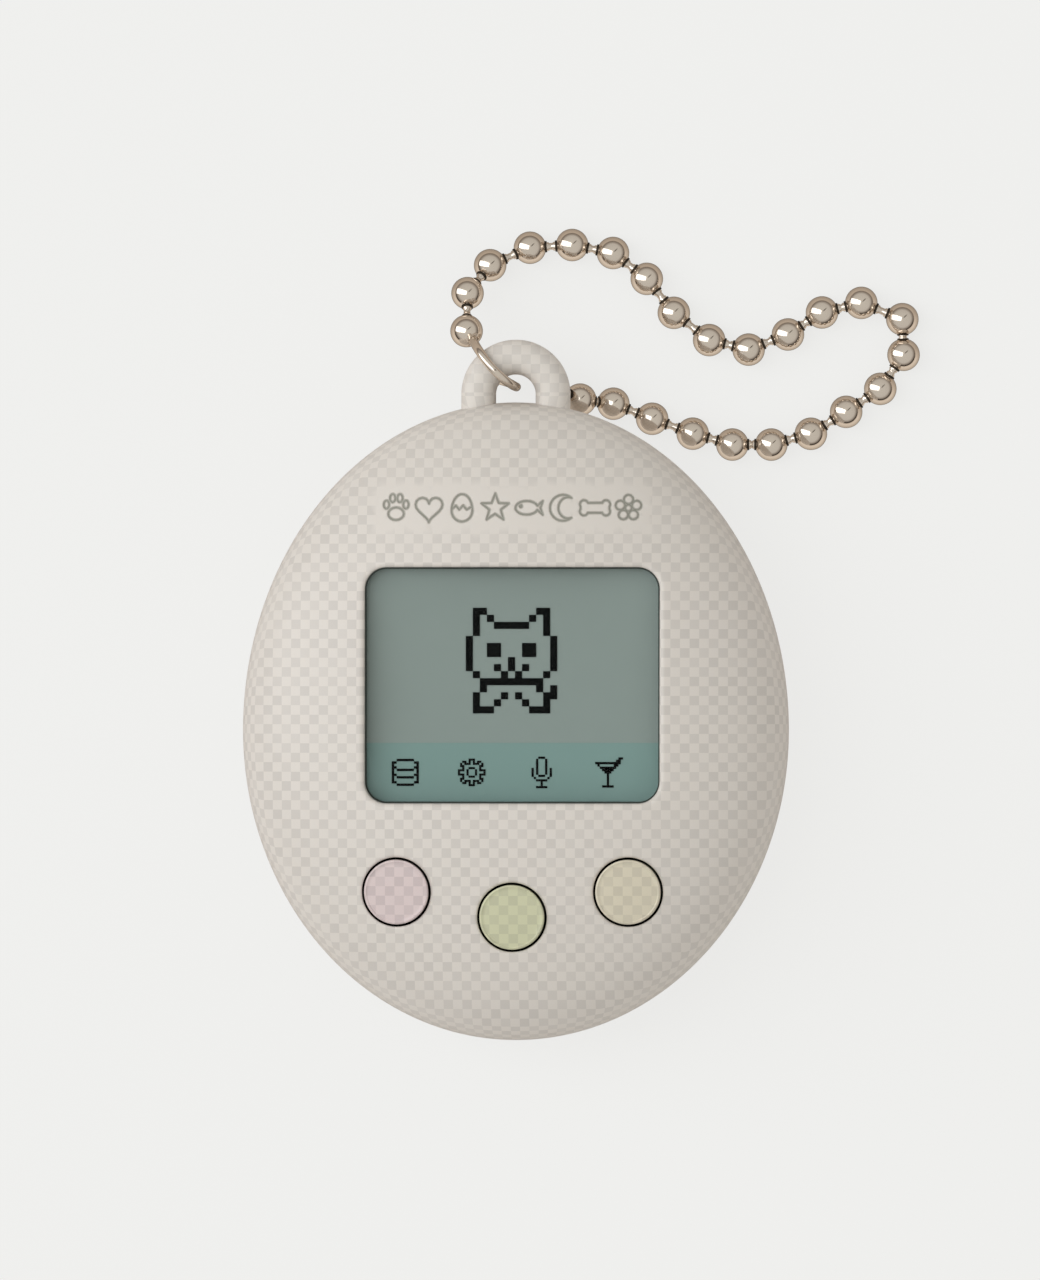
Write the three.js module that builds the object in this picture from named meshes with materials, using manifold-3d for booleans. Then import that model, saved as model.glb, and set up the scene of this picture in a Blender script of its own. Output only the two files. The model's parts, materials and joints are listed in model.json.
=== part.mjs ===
// Virtual pet keychain: an egg-shaped toy with a screen, three buttons and a ball chain.
// Millimetres. The case lies on its back: +Z leaves the screen and +Y points at the keyring ear.
// The origin lies on the flat back.
import * as THREE from 'three';
import { mergeVertices } from 'three/addons/utils/BufferGeometryUtils.js';
import Module from 'manifold-3d';

const wasm = await Module();
wasm.setup();

// Case: two half ellipses in plan, closed by a front dome and a back dome with a flat
const CASE_HALF_WIDTH = 20;
const CASE_CROWN = 24; // from the widest level to the top
const CASE_CHIN = 22.7; // from the widest level to the bottom
const WIDEST_Y = -0.6;
const PARTING_Z = 7;
const FRONT_RISE = 8;
const BACK_DROP = 8.8;
const DOME_POWER = 2.6;
const WALL = 1.5;
const SEAM_GROOVE = 0.15;
const PLAN_SEGMENTS = 44;
const OUTER_STEPS = 8;
const INNER_STEPS = 5;

// Keyring ear, one half on each shell
const EAR_Y = 24;
const EAR_RADIUS = 4;
const EAR_HOLE_RADIUS = 1.45;
const EAR_THICKNESS = 2.8;
const EAR_ROUNDING = 0.7;

// Window and screen
const WINDOW = { width: 21.5, height: 17.2, corner: 1.6, y: 2.7 };
const LEDGE = 0.6;
const LEDGE_Z = 12.2;
const LEDGE_THICKNESS = 0.8;
const LENS_THICKNESS = 1;
const LENS_GAP = 0.2; // taken off the lens's width and height
const LCD = { width: 22.4, height: 18.4, thickness: 1.6, top: 11.3 };
const LCD_CLEARANCE = 0.3;
const FRAME_RIM = 0.7;
const FRAME_TOP = 10.4;
const REFLECTOR_THICKNESS = 0.2;
const ZEBRA_WIDTH = 1.4;

// Circuit board
const BOARD_Z = 8.1;
const BOARD_THICKNESS = 0.8;
const BOARD_TOP = BOARD_Z + BOARD_THICKNESS;
const BOARD_SCALE = 0.84;

// Parts that hang from the board, and the sounder on the back wall
const BLOB = { radius: 3.5, depth: 1.1, y: 6.5 };
const CRYSTAL = { radius: 0.95, length: 5.6, x: 7.5, y: 6 };
const CAPACITOR = { width: 1.6, length: 3.2, height: 1.3, y: 6, places: [-7.2, -10.2] };
const SOUNDER = { radius: 6.8, thickness: 0.5, y: 8.2 };

// Buttons
const BUTTON_SPREAD = 8.44;
const BUTTONS = [
  { name: 'button_left', x: -BUTTON_SPREAD, y: -12.35, color: 0xd3c5c2 },
  { name: 'button_middle', x: 0, y: -14.18, color: 0xc4c5a8 },
  { name: 'button_right', x: BUTTON_SPREAD, y: -12.35, color: 0xbdb5a2 },
];
const BUTTON_RADIUS = 2.36;
const BUTTON_HOLE_RADIUS = 2.53;
const BUTTON_FLANGE_RADIUS = 2.9;
const BUTTON_FOOT_Z = 10.55;
const BUTTON_FLANGE = 0.6;
const BUTTON_PROUD = 0.35; // the caps follow the front dome, this much above it
const BUTTON_TRAVEL = 0.6;
const BUTTON_FLANGE_ROOM = 0.3;
const KEYPAD = { sheet: 0.4, height: 6.2, domeRadius: 2, postRadius: 1.3 };

// Case screws and the bosses that take them
const CASE_SCREWS = [[-12.8, 11.6], [12.8, 11.6], [-15.2, -5.2], [15.2, -5.2]];
const BOSS_RADIUS = 1.9;
const SCREW_RADIUS = 0.6;
const SCREW_HEAD_RADIUS = 1.4;
const SCREW_HEAD_Z = 3;
const SCREW_HEAD_THICKNESS = 1;
const SCREW_TIP_Z = 10.4;
const FIT_GAP = 0.1;

// Battery compartment
const CELL = { radius: 5.8, thickness: 5.4, x: 6.1, y: -8.2, z: 1.6 };
const WELL_CLEARANCE = 0.25;
const WELL_WALL = 0.9;
const WELL_CEILING_Z = 7.25;
const WELL_ROOF = 0.6;
const COVER_THICKNESS = 1.2;
const COVER_LIP = 0.8;
const COVER_GAP = 0.12;
const COVER_SCREW = { y: CELL.y + 4.7, headLow: 0.15, headThickness: 0.65, tip: 5.6, bossRadius: 1.3 };
const COVER_SCREW_Y = COVER_SCREW.y;
const CONTACT_THICKNESS = 0.15;
const BRIDGE_PAD_RADIUS = 2.4;

// Ball chain. The route lists the balls' centres, from the hook's upper end to its lower end.
const BALL_RADIUS = 1.2;
const ROD_RADIUS = 0.3;
const SOCKET_RADIUS = 0.5;
const SOCKET_DEPTH = 0.6;
const ROD_REACH = 0.35;
const CHAIN_ROUTE = [
  [-3.7, 28.7, 5], [-3.7, 31.5, 3.4], [-2.1, 33.6, 1.8], [0.8, 34.9, 1.2], [3.9, 35.1, 1.2],
  [6.9, 34.5, 1.2], [9.4, 32.6, 1.2], [11.4, 30.1, 1.2], [14, 28.1, 1.2], [16.9, 27.4, 1.2],
  [19.8, 28.5, 1.2], [22.3, 30.1, 1.2], [25.2, 30.8, 1.2], [28.2, 29.6, 1.2], [28.3, 27, 1.2],
  [26.6, 24.5, 1.2], [24.1, 22.8, 1.2], [21.5, 21.2, 1.2], [18.6, 20.4, 1.2], [15.7, 20.4, 1.2],
  [12.8, 21.2, 1.2], [9.8, 22.3, 1.2], [6.95, 23.4, 1.3], [4.55, 23.7, 1.9], [2.6, 24.6, 3.8],
  [0.4, 26.7, 3.8], [-2.3, 25.5, 3.4],
];

// Wire hook: out of the first ball, over the ear, down its hole and back to the last ball
const WIRE_RADIUS = 0.33;
const HOOK_ROUTE = [
  [-3.35, 28.25, 5.75], [-3.1, 27.85, 7], [-2.6, 27.1, 8.35], [-1.85, 26.1, 8.95],
  [-0.95, 25.2, 8.85], [-0.2, 24.65, 8.1], [0.02, 24.55, 6.9], [-0.1, 24.6, 5.7],
  [-0.55, 24.85, 4.8], [-1.15, 25.05, 4.1], [-1.6, 25.2, 3.8],
];

const keychain = new THREE.Group();

// ---- helpers -------------------------------------------------------------------------------

// A closed geometry as a manifold solid, without the collapsed triangles at a lathe's poles.
function solid(geometry) {
  geometry.deleteAttribute('normal');
  geometry.deleteAttribute('uv');
  const merged = mergeVertices(geometry, 1e-4);
  const index = merged.index.array;
  const kept = [];
  for (let i = 0; i < index.length; i += 3) {
    const [a, b, c] = index.slice(i, i + 3);
    if (a !== b && b !== c && c !== a) kept.push(a, b, c);
  }
  const vertProperties = Float32Array.from(merged.attributes.position.array);
  const triVerts = Uint32Array.from(kept);
  return new wasm.Manifold(new wasm.Mesh({ numProp: 3, vertProperties, triVerts }));
}

function addPiece(name, body, { color, roughness = 0.5, metalness = 0 }, position = [0, 0, 0]) {
  const { vertProperties, triVerts } = body.getMesh();
  const geometry = new THREE.BufferGeometry();
  geometry.setAttribute('position', new THREE.BufferAttribute(new Float32Array(vertProperties), 3));
  geometry.setIndex(new THREE.BufferAttribute(new Uint32Array(triVerts), 1));
  geometry.computeVertexNormals();
  const mesh = new THREE.Mesh(geometry, new THREE.MeshStandardMaterial({ color, roughness, metalness }));
  mesh.name = name;
  mesh.position.set(...position);
  keychain.add(mesh);
}

function block(lowX, highX, lowY, highY, lowZ, highZ) {
  const geometry = new THREE.BoxGeometry(highX - lowX, highY - lowY, highZ - lowZ);
  geometry.translate((lowX + highX) / 2, (lowY + highY) / 2, (lowZ + highZ) / 2);
  return solid(geometry);
}

// An upright cylinder.
function post(radius, lowZ, highZ, x = 0, y = 0, sides = 16) {
  const geometry = new THREE.CylinderGeometry(radius, radius, highZ - lowZ, sides);
  geometry.rotateX(Math.PI / 2);
  geometry.translate(x, y, (lowZ + highZ) / 2);
  return solid(geometry);
}

// A revolved profile of [radius, z] points, which starts and ends on the Z axis.
function turned(profile, segments = 20) {
  const points = profile.map(([radius, z]) => new THREE.Vector2(radius, z));
  const geometry = new THREE.LatheGeometry(points, segments);
  geometry.rotateX(Math.PI / 2);
  return geometry;
}

function roundedRectangle(width, height, corner, y = 0) {
  const right = width / 2;
  const top = height / 2;
  const shape = new THREE.Shape();
  shape.absarc(right - corner, y + top - corner, corner, 0, Math.PI / 2);
  shape.absarc(corner - right, y + top - corner, corner, Math.PI / 2, Math.PI);
  shape.absarc(corner - right, y + corner - top, corner, Math.PI, Math.PI * 1.5);
  shape.absarc(right - corner, y + corner - top, corner, Math.PI * 1.5, Math.PI * 2);
  return shape;
}

// A flat plate with round corners between two heights.
function plate(width, height, corner, lowZ, highZ, y = 0, curveSegments = 6) {
  const shape = roundedRectangle(width, height, corner, y);
  const options = { depth: highZ - lowZ, bevelEnabled: false, curveSegments };
  const geometry = new THREE.ExtrudeGeometry(shape, options);
  geometry.translate(0, 0, lowZ);
  return solid(geometry);
}

function joined(first, ...others) {
  return others.reduce((whole, other) => whole.add(other), first);
}

function cut(first, ...others) {
  return others.reduce((whole, other) => whole.subtract(other), first);
}

// ---- case shapes ---------------------------------------------------------------------------

// A superellipse from the rim to the crown, cut off flat at the height flatAt.
function domeCurve(radius, rise, flatAt, steps) {
  const last = Math.asin(Math.min(1, flatAt / rise) ** (DOME_POWER / 2));
  const points = [];
  for (let i = 0; i <= steps; i += 1) {
    const angle = last * (i / steps);
    const across = Math.max(0, Math.cos(angle)) ** (2 / DOME_POWER);
    const height = rise * Math.sin(angle) ** (2 / DOME_POWER);
    const closes = i === steps && flatAt === rise;
    points.push([closes ? 0 : radius * across, height]);
  }
  return points;
}

// Revolves a profile and stretches the circle into the egg.
function egg(profile) {
  const geometry = turned(profile, PLAN_SEGMENTS);
  const position = geometry.attributes.position;
  for (let i = 0; i < position.count; i += 1) {
    const y = position.getY(i);
    const half = y > 0 ? CASE_CROWN : CASE_CHIN;
    position.setY(i, WIDEST_Y + (y * half) / CASE_HALF_WIDTH);
  }
  return solid(geometry);
}

// The seam groove narrows the first point of an outer curve, on the parting plane.
function frontDome(radius, rise, groove, steps) {
  const curve = domeCurve(radius, rise, rise, steps).map(([r, h]) => [r, PARTING_Z + h]);
  const grooved = [[radius - groove, PARTING_Z], [radius, PARTING_Z + 2 * groove]];
  const rim = groove ? grooved : [[radius, PARTING_Z]];
  return egg([[0, PARTING_Z], ...rim, ...curve.slice(1)]);
}

function backDome(radius, drop, flatZ, groove, steps) {
  const curve = domeCurve(radius, drop, PARTING_Z - flatZ, steps).map(([r, h]) => [r, PARTING_Z - h]);
  const grooved = [[radius, PARTING_Z - 2 * groove], [radius - groove, PARTING_Z]];
  const rim = groove ? grooved : [[radius, PARTING_Z]];
  return egg([[0, flatZ], ...curve.slice(1).reverse(), ...rim, [0, PARTING_Z]]);
}

// The ear's bar is an eight-sided section, revolved round the hole and run down the two legs.
function makeEar() {
  const half = EAR_THICKNESS / 2;
  const flat = half - EAR_ROUNDING;
  const [inner, outer] = [EAR_HOLE_RADIUS, EAR_RADIUS];
  const [innerFlat, outerFlat] = [inner + EAR_ROUNDING, outer - EAR_ROUNDING];
  const section = [
    [innerFlat, -half], [outerFlat, -half], [outer, -flat], [outer, flat],
    [outerFlat, half], [innerFlat, half], [inner, flat], [inner, -flat],
  ];
  const ring = turned([...section, section[0]], 28);
  ring.translate(0, EAR_Y, PARTING_Z);
  const outline = new THREE.Shape(section.map(([x, z]) => new THREE.Vector2(x, z)));
  const legs = [1, -1].map((side) => {
    const leg = new THREE.ExtrudeGeometry(outline, { depth: EAR_RADIUS, bevelEnabled: false });
    leg.rotateX(Math.PI / 2);
    if (side < 0) leg.rotateY(Math.PI);
    leg.translate(0, EAR_Y, PARTING_Z);
    return solid(leg);
  });
  return joined(solid(ring), ...legs);
}

const ear = makeEar();
const roomy = 2 * (CASE_CROWN + EAR_RADIUS);
const frontHalf = block(-roomy, roomy, -roomy, roomy, PARTING_Z, roomy);
const backHalf = block(-roomy, roomy, -roomy, roomy, -roomy, PARTING_Z);

// ---- shells --------------------------------------------------------------------------------

function makeFrontShell() {
  const outer = frontDome(CASE_HALF_WIDTH, FRONT_RISE, SEAM_GROOVE, OUTER_STEPS);
  const cavity = frontDome(CASE_HALF_WIDTH - WALL, FRONT_RISE - WALL, 0, INNER_STEPS);
  const { width, height, corner, y } = WINDOW;
  const aboveCrown = PARTING_Z + FRONT_RISE + 1;
  const ledgeLow = LEDGE_Z - LEDGE_THICKNESS;
  const ledge = plate(width + 2, height + 2, corner + 1, ledgeLow, LEDGE_Z + 1, y).intersect(outer);
  let shell = cut(joined(outer, ear.intersect(frontHalf)), cavity);
  shell = joined(shell, ledge);
  for (const [bossX, bossY] of CASE_SCREWS) {
    const boss = post(BOSS_RADIUS, PARTING_Z, PARTING_Z + FRONT_RISE, bossX, bossY).intersect(outer);
    const pilot = post(SCREW_RADIUS + FIT_GAP, PARTING_Z - 1, SCREW_TIP_Z + FIT_GAP, bossX, bossY, 12);
    shell = cut(joined(shell, boss), pilot);
  }
  for (const { x, y: holeY } of BUTTONS) {
    const hole = post(BUTTON_HOLE_RADIUS, PARTING_Z + 1, aboveCrown, x, holeY, 20);
    const roomRadius = BUTTON_FLANGE_RADIUS + BUTTON_FLANGE_ROOM;
    const roomTop = BUTTON_FOOT_Z + BUTTON_FLANGE + 0.2;
    shell = cut(shell, hole, post(roomRadius, PARTING_Z, roomTop, x, holeY));
  }
  const pocket = plate(width, height, corner, LEDGE_Z, aboveCrown, y);
  const [openWidth, openHeight] = [width - 2 * LEDGE, height - 2 * LEDGE];
  const opening = plate(openWidth, openHeight, corner - LEDGE, ledgeLow - 1, LEDGE_Z + 1, y);
  const lcdRoom = lcdSeat(LCD_CLEARANCE, LCD.top);
  const frameRoom = lcdSeat(2 * FRAME_RIM + LCD_CLEARANCE, FRAME_TOP);
  return cut(shell, pocket, opening, lcdRoom, frameRoom);
}

// The room that the screen, or the frame round it, takes out of the front shell.
function lcdSeat(margin, top) {
  return plate(LCD.width + margin, LCD.height + margin, 0.5, PARTING_Z, top + FIT_GAP / 2, WINDOW.y, 2);
}

function makeWell() {
  const inner = CELL.radius + WELL_CLEARANCE;
  const outer = inner + WELL_WALL;
  const roof = WELL_CEILING_Z + WELL_ROOF;
  const walls = plate(2 * (CELL.x + outer), 2 * outer, outer - 0.01, COVER_THICKNESS, roof, CELL.y);
  const room = plate(2 * (CELL.x + inner), 2 * inner, inner - 0.01, -1, WELL_CEILING_Z, CELL.y);
  const foot = COVER_THICKNESS + COVER_GAP;
  const boss = post(COVER_SCREW.bossRadius, foot, WELL_CEILING_Z, 0, COVER_SCREW_Y, 16);
  const pilot = post(SCREW_RADIUS, -1, WELL_CEILING_Z - 0.5, 0, COVER_SCREW_Y, 12);
  const web = block(-0.5, 0.5, COVER_SCREW_Y, CELL.y + inner + 0.2, foot, WELL_CEILING_Z);
  return { walls, room, boss: cut(joined(boss, web), pilot) };
}

function coverOutline(margin, lowZ, highZ) {
  const half = CELL.radius + WELL_CLEARANCE + COVER_LIP + margin;
  return plate(2 * (CELL.x + half), 2 * half, half - 0.01, lowZ, highZ, CELL.y);
}

function makeRearShell() {
  const outer = backDome(CASE_HALF_WIDTH, BACK_DROP, 0, SEAM_GROOVE, OUTER_STEPS);
  const cavity = backDome(CASE_HALF_WIDTH - WALL, BACK_DROP - WALL, WALL, 0, INNER_STEPS);
  const well = makeWell();
  let shell = cut(joined(outer, ear.intersect(backHalf)), cavity);
  for (const [bossX, bossY] of CASE_SCREWS) {
    const boss = post(BOSS_RADIUS, 0, PARTING_Z, bossX, bossY).intersect(outer);
    const headTop = SCREW_HEAD_Z + SCREW_HEAD_THICKNESS;
    const headHole = post(SCREW_HEAD_RADIUS + FIT_GAP, -1, headTop, bossX, bossY);
    const shaftHole = post(SCREW_RADIUS + FIT_GAP, 0, PARTING_Z + 1, bossX, bossY, 12);
    shell = cut(joined(shell, boss), headHole, shaftHole);
  }
  const recess = coverOutline(0, -1, COVER_THICKNESS + COVER_GAP);
  shell = joined(cut(joined(shell, well.walls), well.room, recess), well.boss);
  const slots = [-1, 1].map((side) => {
    const x = side * CELL.x;
    return block(x - 1.2, x + 1.2, CELL.y + 3.4, CELL.y + 4.4, WELL_CEILING_Z - 1, BOARD_Z);
  });
  return cut(shell, ...slots);
}

const shellPlastic = { color: 0xc8c0b8, roughness: 0.42 };
addPiece('front_shell', makeFrontShell(), shellPlastic);
addPiece('rear_shell', makeRearShell(), shellPlastic);

// ---- screen --------------------------------------------------------------------------------

function makeLcdFrame() {
  const [outerWidth, outerHeight] = [LCD.width + 2 * FRAME_RIM, LCD.height + 2 * FRAME_RIM];
  const outer = plate(outerWidth, outerHeight, 2, BOARD_TOP, FRAME_TOP, WINDOW.y);
  const [width, height] = [LCD.width + LCD_CLEARANCE, LCD.height + LCD_CLEARANCE];
  return cut(outer, plate(width, height, 0.5, BOARD_TOP - 1, FRAME_TOP + 1, WINDOW.y, 3));
}

const lensWidth = WINDOW.width - LENS_GAP;
const lensHeight = WINDOW.height - LENS_GAP;
const lensTop = LEDGE_Z + LENS_THICKNESS;
const lens = plate(lensWidth, lensHeight, WINDOW.corner, LEDGE_Z, lensTop, WINDOW.y);
addPiece('screen_lens', lens, { color: 0xe8eeea, roughness: 0.05 });

const lcdBase = LCD.top - LCD.thickness;
const lcdPanel = plate(LCD.width, LCD.height, 0.3, lcdBase, LCD.top, WINDOW.y, 2);
addPiece('lcd_panel', lcdPanel, { color: 0x838d8c, roughness: 0.3 });
const reflectorLow = lcdBase - REFLECTOR_THICKNESS;
const reflector = plate(LCD.width - 1, LCD.height - 4.4, 0.3, reflectorLow, lcdBase, WINDOW.y + 1.4, 2);
addPiece('lcd_reflector', reflector, { color: 0xb9bdb4, roughness: 0.4, metalness: 0.4 });
addPiece('lcd_frame', makeLcdFrame(), { color: 0xdedcd6, roughness: 0.5 });

const zebraEnd = LCD.width / 2 - 1;
const zebraLow = WINDOW.y - LCD.height / 2 + 0.3;
const zebra = block(-zebraEnd, zebraEnd, zebraLow, zebraLow + ZEBRA_WIDTH, BOARD_TOP, lcdBase);
addPiece('zebra_strip', zebra, { color: 0xd98ba0, roughness: 0.6 });

// ---- circuit board and what it carries --------------------------------------------------------

function makeBoard() {
  const rim = CASE_HALF_WIDTH * BOARD_SCALE;
  let board = egg([[0, BOARD_Z], [rim, BOARD_Z], [rim, BOARD_TOP], [0, BOARD_TOP]]);
  for (const [x, y] of CASE_SCREWS) {
    board = cut(board, post(BOSS_RADIUS + 0.4, BOARD_Z - 1, BOARD_TOP + 1, x, y, 16));
  }
  return board;
}

addPiece('circuit_board', makeBoard(), { color: 0x2f6b45, roughness: 0.45 });
const blobSag = [[0, 1], [0.45, 0.91], [0.8, 0.55], [1, 0], [0, 0]];
const blob = solid(turned(blobSag.map(([r, h]) => [r * BLOB.radius, -h * BLOB.depth]), 16));
addPiece('processor_blob', blob, { color: 0x17171a, roughness: 0.3 }, [0, BLOB.y, BOARD_Z]);
const crystal = new THREE.CylinderGeometry(CRYSTAL.radius, CRYSTAL.radius, CRYSTAL.length, 14);
const crystalPlace = [CRYSTAL.x, CRYSTAL.y, BOARD_Z - CRYSTAL.radius - 0.05];
addPiece('clock_crystal', solid(crystal), { color: 0xc9cbce, roughness: 0.25, metalness: 1 }, crystalPlace);
for (const [i, x] of CAPACITOR.places.entries()) {
  const [halfWidth, halfLength] = [CAPACITOR.width / 2, CAPACITOR.length / 2];
  const capacitor = block(-halfWidth, halfWidth, -halfLength, halfLength, -CAPACITOR.height, 0);
  addPiece(`capacitor_${i + 1}`, capacitor, { color: 0xb08a4e, roughness: 0.5 }, [x, CAPACITOR.y, BOARD_Z]);
}

function makeKeypad() {
  const rubberTop = BUTTON_FOOT_Z - BUTTON_TRAVEL - FIT_GAP;
  const { sheet: sheetThickness, height, domeRadius, postRadius } = KEYPAD;
  const sheetTop = BOARD_TOP + sheetThickness;
  const sheet = plate(2 * BUTTON_SPREAD + 5, height, 2, BOARD_TOP, sheetTop, BUTTONS[0].y - 0.2);
  const domes = BUTTONS.map(({ x, y }) => {
    const profile = [
      [0, BOARD_TOP], [domeRadius, BOARD_TOP], [domeRadius - 0.1, sheetTop + 0.1],
      [postRadius, rubberTop], [0, rubberTop],
    ];
    const dome = turned(profile, 14);
    dome.translate(x, y, 0);
    return solid(dome);
  });
  return joined(sheet, ...domes);
}

addPiece('rubber_keypad', makeKeypad(), { color: 0x8c8f92, roughness: 0.85 });

const capDome = frontDome(CASE_HALF_WIDTH, FRONT_RISE + BUTTON_PROUD, 0, OUTER_STEPS);
for (const { name, x, y, color } of BUTTONS) {
  const cap = post(BUTTON_RADIUS, BUTTON_FOOT_Z, PARTING_Z + FRONT_RISE + 1, x, y, 20).intersect(capDome);
  const flange = post(BUTTON_FLANGE_RADIUS, BUTTON_FOOT_Z, BUTTON_FOOT_Z + BUTTON_FLANGE, x, y);
  addPiece(name, joined(cap, flange), { color, roughness: 0.4 });
}

const sounder = post(SOUNDER.radius, WALL, WALL + SOUNDER.thickness, 0, SOUNDER.y, 24);
addPiece('piezo_sounder', sounder, { color: 0xc9a24a, roughness: 0.3, metalness: 0.9 });

// ---- battery compartment ----------------------------------------------------------------------

for (const [i, side] of [-1, 1].entries()) {
  const { radius, thickness, x, y, z } = CELL;
  const profile = [
    [0, 0], [radius - 0.9, 0], [radius - 0.8, 0.25],
    [radius, 0.5], [radius, thickness], [0, thickness],
  ];
  const steel = { color: 0xcfd0d0, roughness: 0.22, metalness: 1 };
  addPiece(`button_cell_${i + 1}`, solid(turned(profile)), steel, [side * x, y, z]);
}

const contactSteel = { color: 0xd8d2bf, roughness: 0.3, metalness: 1 };
for (const [name, side] of [['contact_positive', -1], ['contact_negative', 1]]) {
  const top = WELL_CEILING_Z - 0.03;
  const leaf = block(-2.4, 2.4, -4, 4.2, top - CONTACT_THICKNESS, top);
  const tab = block(-0.9, 0.9, 3.8, 4, top - CONTACT_THICKNESS, BOARD_Z);
  addPiece(name, joined(leaf, tab), contactSteel, [side * CELL.x, CELL.y, 0]);
}
const bridgeZ = COVER_THICKNESS;
const bridge = joined(
  block(-CELL.x - 3, CELL.x + 3, CELL.y - 1.5, CELL.y + 1.5, bridgeZ, bridgeZ + CONTACT_THICKNESS),
  post(BRIDGE_PAD_RADIUS, bridgeZ, bridgeZ + 0.3, -CELL.x, CELL.y, 16),
  post(BRIDGE_PAD_RADIUS, bridgeZ, bridgeZ + 0.3, CELL.x, CELL.y, 16),
);
addPiece('contact_bridge', bridge, contactSteel);

function makeCover() {
  const follows = backDome(CASE_HALF_WIDTH, BACK_DROP, 0, SEAM_GROOVE, OUTER_STEPS);
  const slab = coverOutline(-COVER_GAP, 0, COVER_THICKNESS).intersect(follows);
  const headHole = post(SCREW_HEAD_RADIUS + FIT_GAP, -1, 0.8, 0, COVER_SCREW_Y);
  const shaftHole = post(SCREW_RADIUS + FIT_GAP, 0, COVER_THICKNESS + 1, 0, COVER_SCREW_Y, 12);
  return cut(slab, headHole, shaftHole);
}

addPiece('battery_cover', makeCover(), shellPlastic);

// A pan-head screw with its drive cross facing down.
function makeScrew(radius, headLow, headThickness, tip) {
  const head = post(SCREW_HEAD_RADIUS, headLow, headLow + headThickness);
  const shaft = post(radius, headLow, tip, 0, 0, 12);
  const arm = SCREW_HEAD_RADIUS * 0.62;
  const depth = headLow + headThickness * 0.5;
  const slotAcross = block(-arm, arm, -0.2, 0.2, headLow - 1, depth);
  const slotAlong = block(-0.2, 0.2, -arm, arm, headLow - 1, depth);
  return cut(joined(head, shaft), slotAcross, slotAlong);
}

const screwSteel = { color: 0xb9babc, roughness: 0.3, metalness: 1 };
const { headLow, headThickness, tip } = COVER_SCREW;
const coverScrew = makeScrew(SCREW_RADIUS - FIT_GAP, headLow, headThickness, tip);
addPiece('battery_cover_screw', coverScrew, screwSteel, [0, COVER_SCREW_Y, 0]);
for (const [i, [x, y]] of CASE_SCREWS.entries()) {
  const screw = makeScrew(SCREW_RADIUS, SCREW_HEAD_Z, SCREW_HEAD_THICKNESS, SCREW_TIP_Z);
  addPiece(`case_screw_${i + 1}`, screw, screwSteel, [x, y, 0]);
}

// ---- chain ----------------------------------------------------------------------------------

const chainSteel = { color: 0xb9aea2, roughness: 0.15, metalness: 1 };

// A round bar from one point to another.
function bar(from, to, radius, sides) {
  const span = new THREE.Vector3().subVectors(to, from);
  const geometry = new THREE.CylinderGeometry(radius, radius, span.length(), sides);
  const up = new THREE.Vector3(0, 1, 0);
  const turn = new THREE.Quaternion().setFromUnitVectors(up, span.clone().normalize());
  geometry.applyQuaternion(turn);
  geometry.translate(...span.multiplyScalar(0.5).add(from).toArray());
  return solid(geometry);
}

// A ball with a socket towards the piece before it and a rod towards the ball after it.
function makeLink(before, centre, after) {
  const ball = new THREE.SphereGeometry(BALL_RADIUS, 8, 6);
  ball.rotateX(Math.PI / 2);
  const middle = new THREE.Vector3();
  const back = new THREE.Vector3().subVectors(before, centre).normalize();
  const mouth = back.clone().multiplyScalar(BALL_RADIUS + 0.2);
  const floor = back.clone().multiplyScalar(BALL_RADIUS - SOCKET_DEPTH);
  let link = cut(solid(ball), bar(floor, mouth, SOCKET_RADIUS, 6));
  if (after) {
    const ahead = new THREE.Vector3().subVectors(after, centre);
    const tip = ahead.clone().setLength(ahead.length() - BALL_RADIUS + ROD_REACH);
    link = joined(link, bar(middle, tip, ROD_RADIUS, 6));
  }
  return link;
}

function makeHook() {
  const path = new THREE.CatmullRomCurve3(HOOK_ROUTE.map((point) => new THREE.Vector3(...point)));
  const section = new THREE.Shape();
  section.absarc(0, 0, WIRE_RADIUS, 0, Math.PI * 2);
  const geometry = new THREE.ExtrudeGeometry(section, { steps: 20, extrudePath: path, curveSegments: 4 });
  return solid(geometry);
}

const centres = CHAIN_ROUTE.map((point) => new THREE.Vector3(...point));
const hookStart = new THREE.Vector3(...HOOK_ROUTE[0]);
const hookEnd = new THREE.Vector3(...HOOK_ROUTE.at(-1));
centres.forEach((centre, i) => {
  const before = i === 0 ? hookStart : centres[i - 1];
  const number = String(i + 1).padStart(2, '0');
  let link = makeLink(before, centre, centres[i + 1]);
  if (i === centres.length - 1) {
    const entry = new THREE.Vector3().subVectors(hookEnd, centre);
    const mouth = entry.clone().setLength(BALL_RADIUS + 0.2);
    const floor = entry.clone().setLength(BALL_RADIUS - SOCKET_DEPTH - 0.1);
    link = cut(link, bar(floor, mouth, SOCKET_RADIUS, 6));
  }
  addPiece(`chain_link_${number}`, link, chainSteel, centre.toArray());
});
addPiece('chain_hook', makeHook(), chainSteel);

export default keychain;
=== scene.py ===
"""Virtual pet keychain: the looks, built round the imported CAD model. Metres, in the CAD frame."""

import json
import math

import bmesh
import bpy
import numpy as np
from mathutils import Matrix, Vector
from mathutils.geometry import delaunay_2d_cdt


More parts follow.
